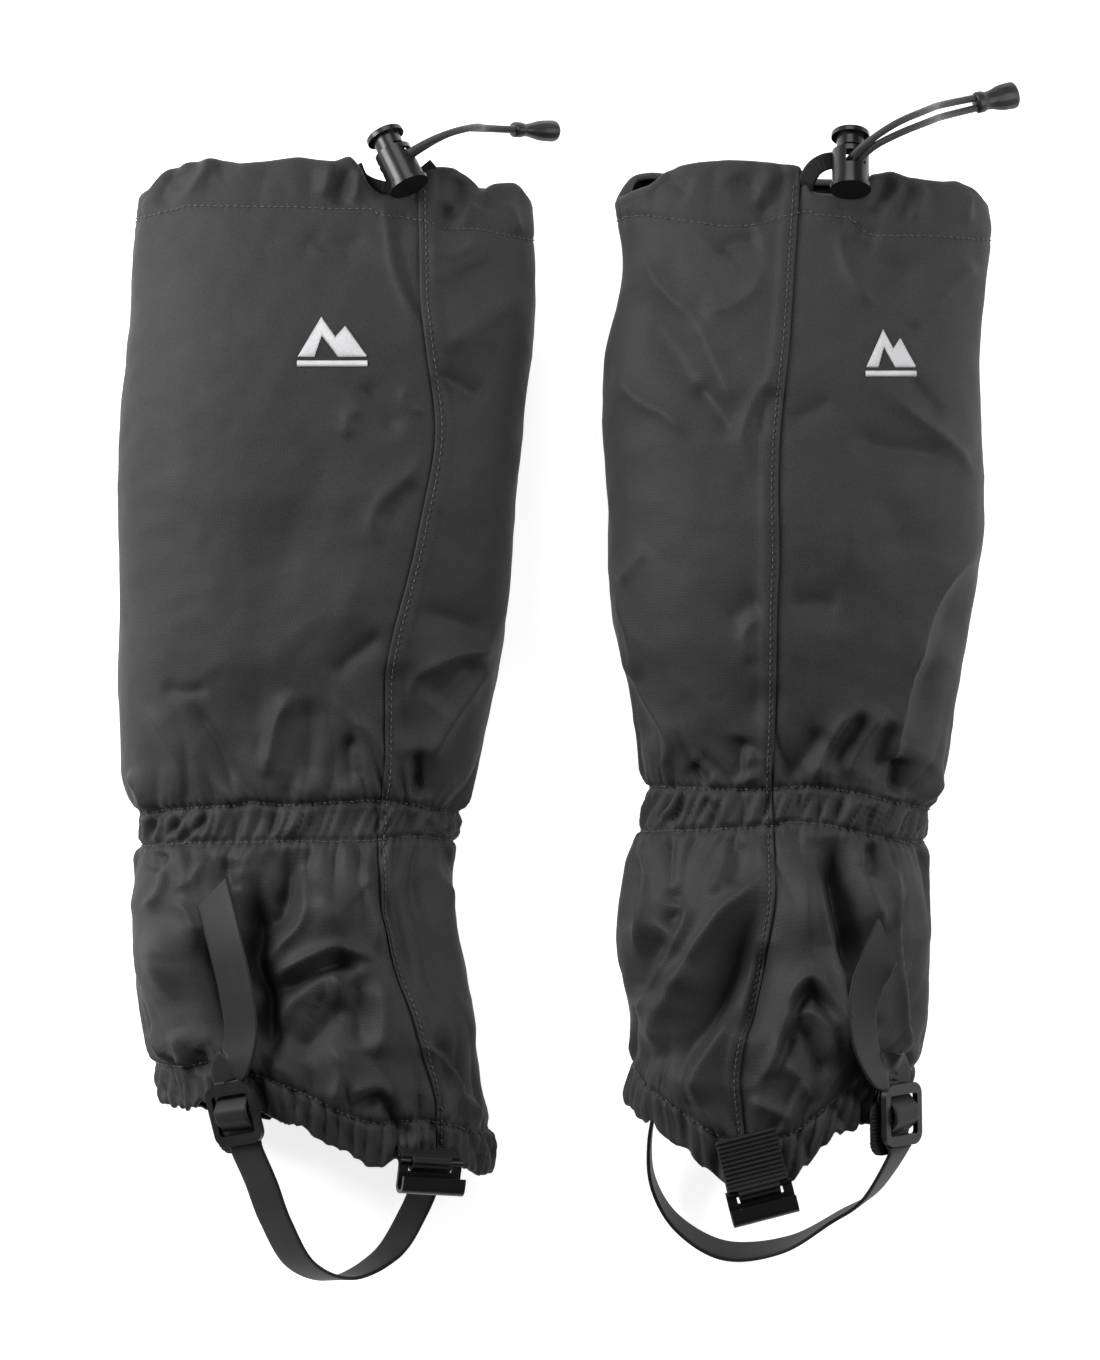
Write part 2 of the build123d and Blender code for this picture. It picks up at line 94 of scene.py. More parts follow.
def unit(v):
    """Vectors of length one, along the last axis."""
    v = np.asarray(v, float)
    return v / np.maximum(np.linalg.norm(v, axis=-1, keepdims=True), 1e-9)


def smoothstep(x):
    """An even step from 0 to 1, flat at both ends."""
    x = np.clip(x, 0, 1)
    return x * x * (3 - 2 * x)


def blur(values, sigma):
    """Gaussian smoothing of evenly spaced values, with the ends held."""
    reach = int(sigma * 3) + 1
    kernel = np.exp(-0.5 * (np.arange(-reach, reach + 1) / sigma) ** 2)
    kernel /= kernel.sum()
    padded = np.concatenate([np.full(reach, values[0]), values, np.full(reach, values[-1])])
    return np.convolve(padded, kernel, mode="valid")


def spline_through(points, count):
    """Evenly spaced points on a smooth line through a few points."""
    points = np.asarray(points, float)
    if len(points) < 3:
        t = np.linspace(0, 1, count)[:, None]
        return points[0] * (1 - t) + points[-1] * t
    ext = np.vstack([2 * points[0] - points[1], points, 2 * points[-1] - points[-2]])
    out = []
    for i in range(1, len(ext) - 2):
        p0, p1, p2, p3 = ext[i - 1], ext[i], ext[i + 1], ext[i + 2]
        t = np.linspace(0, 1, 24, endpoint=False)[:, None]
        out.append(0.5 * (2 * p1 + (p2 - p0) * t + (2 * p0 - 5 * p1 + 4 * p2 - p3) * t**2
                          + (3 * p1 - p0 - 3 * p2 + p3) * t**3))
    line = np.vstack(out + [points[-1:]])
    run = np.concatenate([[0], np.cumsum(np.linalg.norm(np.diff(line, axis=0), axis=1))])
    at = np.linspace(0, run[-1], count)
    return np.stack([np.interp(at, run, line[:, k]) for k in range(points.shape[1])], axis=1)


def tube_faces(base, rings, sides):
    """Faces of a tube with closed ends. Its rings of points are numbered from a base."""
    faces = []
    for k in range(rings - 1):
        for m in range(sides):
            m2 = (m + 1) % sides
            faces.append((base + k * sides + m, base + k * sides + m2,
                          base + (k + 1) * sides + m2, base + (k + 1) * sides + m))
    faces.append(tuple(base + m for m in range(sides))[::-1])
    faces.append(tuple(base + (rings - 1) * sides + m for m in range(sides)))
    return faces


def loft_rings(name, rings, uv=None):
    """A closed skin over rings of equal count."""
    rings = np.asarray(rings, float)
    count, sides, _ = rings.shape
    obj = make_mesh(name, rings.reshape(-1, 3), tube_faces(0, count, sides), uv=uv)
    fix_normals(obj)
    return obj


def fix_normals(obj):
    """Turn every face outwards."""
    bm = bmesh.new()
    bm.from_mesh(obj.data)
    bmesh.ops.recalc_face_normals(bm, faces=bm.faces)
    bm.to_mesh(obj.data)
    bm.free()


BEVEL_ANGLE = 35


def bevel(obj, width_mm, segments):
    """Rounded edges on a hard piece."""
    mod = obj.modifiers.new("edges", "BEVEL")
    mod.width = width_mm * MM
    mod.segments = segments
    mod.limit_method = "ANGLE"
    mod.angle_limit = math.radians(BEVEL_ANGLE)
    mod.harden_normals = False


def axes_frame(origin, x_axis, z_axis):
    """Origin, x, y and z of a frame; x is turned square to z."""
    z = unit(np.asarray(z_axis, float))
    x = np.asarray(x_axis, float)
    x = unit(x - z * np.dot(x, z))
    return np.asarray(origin, float), x, np.cross(z, x), z


def in_frame(place, points):
    """Local points of a frame in the common frame."""
    o, x, y, z = place
    p = np.asarray(points, float)
    return o + p[..., :1] * x + p[..., 1:2] * y + p[..., 2:3] * z


# ---------------------------------------------------------------- materials

class Nodes:
    """A short way to build a material's node tree."""

    def __init__(self, name, color, roughness, **sockets):
        self.material = bpy.data.materials.new(name)
        self.material.use_nodes = True
        self.tree = self.material.node_tree
        self.shader = self.tree.nodes["Principled BSDF"]
        self.shader.inputs["Base Color"].default_value = (*color, 1)
        self.shader.inputs["Roughness"].default_value = roughness
        for key, value in sockets.items():
            self.shader.inputs[key.replace("_", " ")].default_value = value

    def add(self, kind):
        """A new node."""
        return self.tree.nodes.new(kind)

    def join(self, out, into):
        """A link from one socket to another."""
        self.tree.links.new(out, into)

    def coords(self, source="Object", scale=(1, 1, 1)):
        """Texture coordinates, stretched."""
        if source == "UV":
            point = self.add("ShaderNodeUVMap").outputs["UV"]
        else:
            point = self.add("ShaderNodeTexCoord").outputs[source]
        mapping = self.add("ShaderNodeMapping")
        mapping.inputs["Scale"].default_value = scale
        self.join(point, mapping.inputs["Vector"])
        return mapping.outputs["Vector"]

    def noise(self, scale, detail=3, source="Object", stretch=(1, 1, 1), roughness=0.55):
        """Cloudy noise from 0 to 1."""
        node = self.add("ShaderNodeTexNoise")
        node.inputs["Scale"].default_value = scale
        node.inputs["Detail"].default_value = detail
        node.inputs["Roughness"].default_value = roughness
        self.join(self.coords(source, stretch), node.inputs["Vector"])
        return node.outputs["Fac"]

    def wave(self, scale, direction="X", source="Object", stretch=(1, 1, 1), distortion=0.0):
        """Even bands from 0 to 1."""
        node = self.add("ShaderNodeTexWave")
        node.wave_type = "BANDS"
        node.bands_direction = direction
        node.wave_profile = "SIN"
        node.inputs["Scale"].default_value = scale
        node.inputs["Distortion"].default_value = distortion
        self.join(self.coords(source, stretch), node.inputs["Vector"])
        return node.outputs["Fac"]

    def math(self, operation, a, b):
        """One sum of two numbers or sockets."""
        node = self.add("ShaderNodeMath")
        node.operation = operation
        for socket, value in zip(node.inputs, (a, b)):
            if isinstance(value, (int, float)):
                socket.default_value = value
            else:
                self.join(value, socket)
        return node.outputs[0]

    def ramp(self, fac, stops):
        """Colours along a value."""
        node = self.add("ShaderNodeValToRGB")
        elements = node.color_ramp.elements
        while len(elements) < len(stops):
            elements.new(0.5)
        for element, (place, color) in zip(elements, stops):
            element.position = place
            element.color = (*color, 1)
        self.join(fac, node.inputs["Fac"])
        return node.outputs["Color"]

    def span(self, fac, low, high):
        """A value from 0 to 1, moved between two limits."""
        node = self.add("ShaderNodeMapRange")
        node.inputs["To Min"].default_value = low
        node.inputs["To Max"].default_value = high
        self.join(fac, node.inputs["Value"])
        return node.outputs["Result"]

    def bump(self, height, strength, distance, below=None):
        """A normal from a height in metres."""
        node = self.add("ShaderNodeBump")
        node.inputs["Strength"].default_value = strength
        node.inputs["Distance"].default_value = distance
        self.join(height, node.inputs["Height"])
        if below is not None:
            self.join(below, node.inputs["Normal"])
        return node.outputs["Normal"]

    def finish(self, color=None, roughness=None, normal=None):
        """Link what varies over the surface, and hand over the material."""
        if color is not None:
            self.join(color, self.shader.inputs["Base Color"])
        if roughness is not None:
            self.join(roughness, self.shader.inputs["Roughness"])
        if normal is not None:
            self.join(normal, self.shader.inputs["Normal"])
        return self.material


UV_PER_MM = (1000 / math.pi, 1000 / math.pi, 1)
CLOTH_YARN = 0.62
TAPE_YARN = 0.45


def grey(value, tint=(1, 1, 1)):
    """A grey, or a tinted one."""
    return tuple(value * t for t in tint)


def cloth_material(name, level, roughness=0.66):
    """Coated nylon: a fine plain weave, faint slubs and a soft satin face."""
    n = Nodes(name, grey(level), roughness, Specular_IOR_Level=0.24)
    warp = n.wave(1 / CLOTH_YARN * 0.5, "X", "UV", UV_PER_MM)
    weft = n.wave(1 / CLOTH_YARN * 0.5, "Y", "UV", UV_PER_MM)
    weave = n.math("MULTIPLY", warp, weft)
    fine = n.noise(1900, 2)
    cloudy = n.noise(22, 4)
    mix = n.math("ADD", n.math("MULTIPLY", fine, 0.75), n.math("MULTIPLY", cloudy, 0.25))
    dark = grey(level * 0.66, (1.0, 1.0, 1.01))
    pale = grey(level * 1.36, (1.0, 0.995, 0.99))
    color = n.ramp(mix, ((0.30, dark), (0.70, pale)))
    rough = n.span(n.noise(60, 3), roughness - 0.05, roughness + 0.06)
    normal = n.bump(weave, 0.35, 0.00012)
    normal = n.bump(fine, 0.30, 0.00010, normal)
    return n.finish(color, rough, normal)


def webbing_material(name, level, roughness=0.6, pitch=1.1):
    """Woven tape with ribs across it."""
    n = Nodes(name, grey(level), roughness, Specular_IOR_Level=0.25)
    ribs = n.wave(0.5 / pitch, "Y", "UV", UV_PER_MM)
    yarn = n.wave(0.5 / TAPE_YARN, "X", "UV", UV_PER_MM, 0.6)
    fuzz = n.noise(2600, 3)
    height = n.math("ADD", n.math("MULTIPLY", ribs, 0.7), n.math("MULTIPLY", yarn, 0.3))
    color = n.ramp(n.math("ADD", n.math("MULTIPLY", height, 0.5), n.math("MULTIPLY", fuzz, 0.5)),
                   ((0.25, grey(level * 0.65)), (0.75, grey(level * 1.35))))
    normal = n.bump(height, 0.5, 0.0002)
    normal = n.bump(fuzz, 0.25, 0.0001, normal)
    return n.finish(color, None, normal)


def strap_material(name, level, roughness=0.56):
    """Smooth coated strap: a fine pebble, a faint lengthwise grain and soft wear."""
    n = Nodes(name, grey(level), roughness, Specular_IOR_Level=0.25)
    pebble = n.noise(1400, 3)
    grain = n.noise(260, 3, "UV", (1, 0.12, 1))
    wear = n.noise(45, 4)
    mix = n.math("ADD", n.math("MULTIPLY", grain, 0.6), n.math("MULTIPLY", wear, 0.4))
    color = n.ramp(mix, ((0.30, grey(level * 0.80)), (0.72, grey(level * 1.25))))
    normal = n.bump(pebble, 0.25, 0.00008)
    rough = n.span(wear, roughness - 0.06, roughness + 0.08)
    return n.finish(color, rough, n.bump(grain, 0.2, 0.0001, normal))


def plastic_material(name, level, roughness, coat=0.0):
    """Moulded plastic with a faint mould grain and handling wear."""
    n = Nodes(name, grey(level), roughness, Coat_Weight=coat, Coat_Roughness=0.12, Specular_IOR_Level=0.32)
    grain = n.noise(900, 3)
    scuff = n.noise(120, 5, stretch=(1, 1, 3))
    color = n.ramp(scuff, ((0.35, grey(level * 0.85)), (0.75, grey(level * 1.35))))
    rough = n.span(scuff, max(roughness - 0.08, 0.05), roughness + 0.12)
    return n.finish(color, rough, n.bump(grain, 0.08, 0.00008))


def metal_material(name, level, roughness, metallic=1.0):
    """Painted or plated metal, worn a little on its faces."""
    n = Nodes(name, grey(level), roughness, Metallic=metallic)
    brush = n.noise(700, 4, stretch=(1, 6, 1))
    color = n.ramp(brush, ((0.3, grey(level * 0.8)), (0.8, grey(level * 1.25))))
    return n.finish(color, n.span(brush, roughness - 0.06, roughness + 0.1), n.bump(brush, 0.06, 0.00005))


def thread_material(name, level, roughness=0.45, tint=(1, 1, 1)):
    """Twisted thread with a silky face."""
    n = Nodes(name, grey(level, tint), roughness, Sheen_Weight=0.25, Sheen_Roughness=0.35)
    ply = n.wave(900, "DIAGONAL")
    fuzz = n.noise(3000, 2)
    color = n.ramp(fuzz, ((0.3, grey(level * 0.8, tint)), (0.7, grey(level * 1.2, tint))))
    return n.finish(color, None, n.bump(ply, 0.4, 0.0001))


def cord_material(name, level):
    """Braided cord: crossing strands round a core."""
    n = Nodes(name, grey(level), 0.55, Sheen_Weight=0.2, Sheen_Roughness=0.5)
    one = n.wave(620, "DIAGONAL")
    two = n.wave(620, "X", stretch=(1, -1, 1))
    braid = n.math("MULTIPLY", one, two)
    fuzz = n.noise(2500, 2)
    color = n.ramp(n.math("ADD", n.math("MULTIPLY", braid, 0.6), n.math("MULTIPLY", fuzz, 0.4)),
                   ((0.2, grey(level * 0.6)), (0.8, grey(level * 1.5))))
    return n.finish(color, None, n.bump(braid, 0.7, 0.0003))


MATERIALS = {
    "cloth": cloth_material("gaiter_cloth", 0.0235),
    "facing": cloth_material("gaiter_facing", 0.016, 0.70),
    "elastic": webbing_material("gaiter_elastic", 0.030, 0.7, 1.6),
    "cord": cord_material("gaiter_cord", 0.005),
    "emblem_thread": thread_material("emblem_thread", 0.52, 0.38, (1.0, 1.0, 1.02)),
    "stitch": thread_material("stitch_thread", 0.045),
    "webbing": webbing_material("gaiter_webbing", 0.0045, 0.62),
    "strap": strap_material("gaiter_strap", 0.0075),
    "hard_plastic": plastic_material("gaiter_plastic", 0.005, 0.30, 0.12),
    "satin_plastic": plastic_material("buckle_plastic", 0.007, 0.38),
    "end_plastic": plastic_material("cord_end_plastic", 0.012, 0.40),
    "hook_metal": metal_material("hook_metal", 0.012, 0.3, 0.6),
    "spring_steel": metal_material("spring_steel", 0.5, 0.25),
}


def paint(obj, key):
    """Give a new piece its material."""
    obj.data.materials.append(MATERIALS[key])


# ---------------------------------------------------------------- the cloth tubes, in millimetres
# Y runs up the leg, X across, Z up from the surface. Stations run down the leg.

SIDES = {
    "right": dict(
        left=((222, -163), (211, -166), (203, -167), (187, -169), (163, -170.5), (139, -173), (123, -174),
              (99, -175), (43, -174.5), (3, -174), (-29, -173), (-37, -170.5), (-43, -166.5), (-50, -165),
              (-56, -166), (-63, -168.5), (-77, -170.2), (-93, -169.5), (-109, -168), (-125, -166.5),
              (-136, -163), (-146, -159), (-160, -157.5), (-195, -156)),
        right=((222, -11), (211, -10), (203, -8.5), (187, -8), (163, -8.5), (139, -10), (123, -12),
               (99, -14), (75, -16.5), (43, -19.5), (19, -22), (3, -24.5), (-13, -28), (-29, -32),
               (-37, -35.5), (-43, -39), (-50, -39.5), (-56, -41), (-64, -42), (-77, -41.5), (-93, -38.5),
               (-109, -35), (-125, -32), (-141, -31), (-157, -28.5), (-170, -25), (-182, -24), (-195, -26)),
        top=((236, 38), (200, 46), (150, 61), (85, 68), (20, 66.5), (-15, 61), (-32, 56), (-42, 52),
             (-49, 51.5), (-56, 53), (-66, 58.5), (-84, 65), (-110, 70), (-135, 71), (-162, 65),
             (-200, 56)),
        gap=((236, 0), (0, 0), (-22, 1.2), (-47, 3.6), (-66, 2.6), (-100, 0), (-200, 0)),
        seam=((224, -55), (203, -55), (163.5, -54.5), (140, -51.5), (121, -48.5), (105, -48), (82, -52.5),
              (56, -58), (31, -65), (15, -68), (-16, -68), (-36, -69.6), (-51, -71), (-74, -70.5),
              (-95, -66), (-115, -60), (-136, -54), (-156, -47.8), (-182, -46.5), (-200, -46)),
        back=((230, -121), (-200, -121)),
        rim=((-170, 200), (-166.4, 207), (-161.1, 216.5), (-153.1, 219.2), (-142.4, 220.6),
             (-136.4, 220.2), (-129.1, 218.6), (-119.7, 219.4), (-105.1, 221), (-90.4, 219),
             (-83.7, 221.6), (-79.1, 217.0), (-75.7, 210.5), (-70, 206), (-57, 206), (-53.5, 215.5),
             (-46, 217.2), (-39.7, 216.6), (-34.4, 213.8), (-27.1, 207.6), (-22.4, 210.6), (-13.1, 210.8),
             (-10.4, 206.5), (-7, 198)),
        rim_low=((-170, 205), (-120, 213), (-60, 210), (-7, 206)),
        rim_stitch=((-170, 195.5), (-150.4, 200.8), (-129.1, 200.4), (-107.7, 200.1), (-89.1, 199.1),
                    (-77.1, 199.5), (-67.7, 199.5), (-59.7, 196.1), (-42.4, 191.9), (-31.7, 191.5),
                    (-22.4, 189.5), (-7, 186.5)),
        ankle_top=((-170, -42.5), (-146, -40.6), (-129, -39.9), (-123.7, -38.5), (-107.7, -39.9),
                   (-89, -38.5), (-77, -37.4), (-67.7, -37.9), (-57, -39.2), (-49, -41.2), (-35, -42.6)),
        ankle_low=((-170, -55.6), (-147.7, -53.9), (-123.7, -53.9), (-107.7, -53.2), (-89, -53.9),
                   (-71.7, -53.2), (-57, -51.6), (-41, -53.4), (-35, -54)),
        hem=((-170, -157), (-157.1, -158.6), (-150, -161.2), (-143.7, -160), (-132, -159.5),
             (-122.4, -162.2), (-113.1, -165.2), (-102.4, -168.4), (-97.1, -173.2), (-86.4, -178.5),
             (-77.1, -183.9), (-71.7, -184.4), (-65.1, -182.6), (-50.4, -181.6), (-37.1, -184.6),
             (-30.4, -188), (-25.5, -185.5), (-22, -176)),
        hem_low=((-170, -156), (-121, -164), (-80, -172), (-22, -178)),
        hem_width=14.5,
        rim_y=205, hem_y=-165,
    ),
    "left": dict(
        left=((228, 27), (215, 24.5), (207, 22.5), (200, 22.5), (190, 25), (176, 26.5), (163, 25.5),
              (150, 22), (139, 19.5), (120, 19.8), (90, 20), (60, 20.5), (43, 21.2), (27, 23.5), (11, 28),
              (-5, 31), (-20, 34), (-30, 37), (-38, 37.5), (-46, 35.5), (-53, 31.8), (-63, 28),
              (-77, 25.5), (-91, 24.5), (-105, 26.5), (-118, 29.5), (-132, 32), (-142, 31), (-150, 27.5),
              (-157, 26), (-170, 30), (-205, 36)),
        right=((228, 165), (215, 168), (203, 172.5), (190, 174.3), (175, 173), (163, 171.5), (147, 170),
               (100, 170), (67, 170.2), (45, 167.5), (27, 164.2), (11, 162), (-5, 159), (-20, 157),
               (-30, 154.5), (-38, 151), (-46, 149), (-53, 148.3), (-63, 148.5), (-77, 148.8),
               (-93, 150.2), (-109, 150), (-125, 148.5), (-137, 145.5), (-149, 142), (-160, 138),
               (-205, 128)),
        top=((236, 38), (200, 46), (165, 57), (130, 66), (75, 71), (25, 68.5), (-8, 62), (-26, 56),
             (-38, 52.5), (-46, 52), (-54, 53.5), (-64, 58.5), (-82, 67), (-110, 72), (-135, 73),
             (-162, 67), (-200, 60)),
        gap=((236, 0), (10, 0), (-15, 1.2), (-44, 3.4), (-66, 2.6), (-98, 0), (-200, 0)),
        seam=((226, 98.5), (200, 97), (178, 95.5), (145, 93.5), (126, 91.2), (106, 89.3), (86, 88.8),
              (58, 89.5), (42, 88.5), (6, 88), (-16, 87.2), (-31, 86), (-48, 86.8), (-77, 88), (-90, 85.5),
              (-109, 81.6), (-136, 74.8), (-149, 72.8), (-162, 74.4), (-174, 75.6), (-205, 76)),
        back=((230, 92), (-200, 84)),
        rim=((20, 198), (22.9, 204), (29, 207), (36.3, 209.5), (40.3, 214.6), (45.6, 217.2), (55, 218.8),
             (65.6, 219.6), (78, 219.2), (89.6, 218), (97.5, 217.2), (100, 210), (103, 206.3),
             (118, 205.5), (123.5, 207), (126, 213.8), (135.6, 215.4), (142.9, 212.6), (156.3, 211),
             (163, 211.6), (168.3, 208.6), (172.5, 202), (175, 195)),
        rim_low=((20, 206), (28, 213), (36, 214), (60, 212), (120, 211), (175, 206)),
        rim_stitch=((18, 195), (23.6, 195.5), (36.3, 196.8), (49.6, 194.8), (68.3, 192.4), (78.9, 193.2),
                    (89.6, 196.1), (97.6, 198.1), (105.6, 198.5), (116.3, 197), (122.9, 190.8),
                    (129.6, 188.4), (142.9, 188.8), (154.9, 188.1), (175, 186.6)),
        ankle_top=((34, -32), (38.9, -31.9), (60.3, -33.2), (84.3, -33.2), (102.9, -31.9), (116.3, -33.9),
                   (136.3, -38.5), (152, -41.4)),
        ankle_low=((34, -49.4), (42.9, -49.2), (58.9, -48.9), (85.6, -47.9), (92.3, -45.9), (109.6, -47.2),
                   (120.3, -49.9), (136.3, -53.5), (150, -54)),
        hem=((22, -152), (26.3, -155.9), (31.6, -163.9), (38.9, -169.2), (49.6, -178.5), (57.6, -185.2),
             (62.9, -191), (68, -192), (83, -190.8), (96.3, -188.6), (102.9, -183.4), (108.3, -175),
             (114.9, -170.5), (122.9, -168.3), (133, -165.5), (141, -159), (148, -150)),
        hem_low=((22, -150), (50, -156), (90, -160), (145, -150)),
        hem_width=15.0,
        rim_y=205, hem_y=-162,
    ),
}

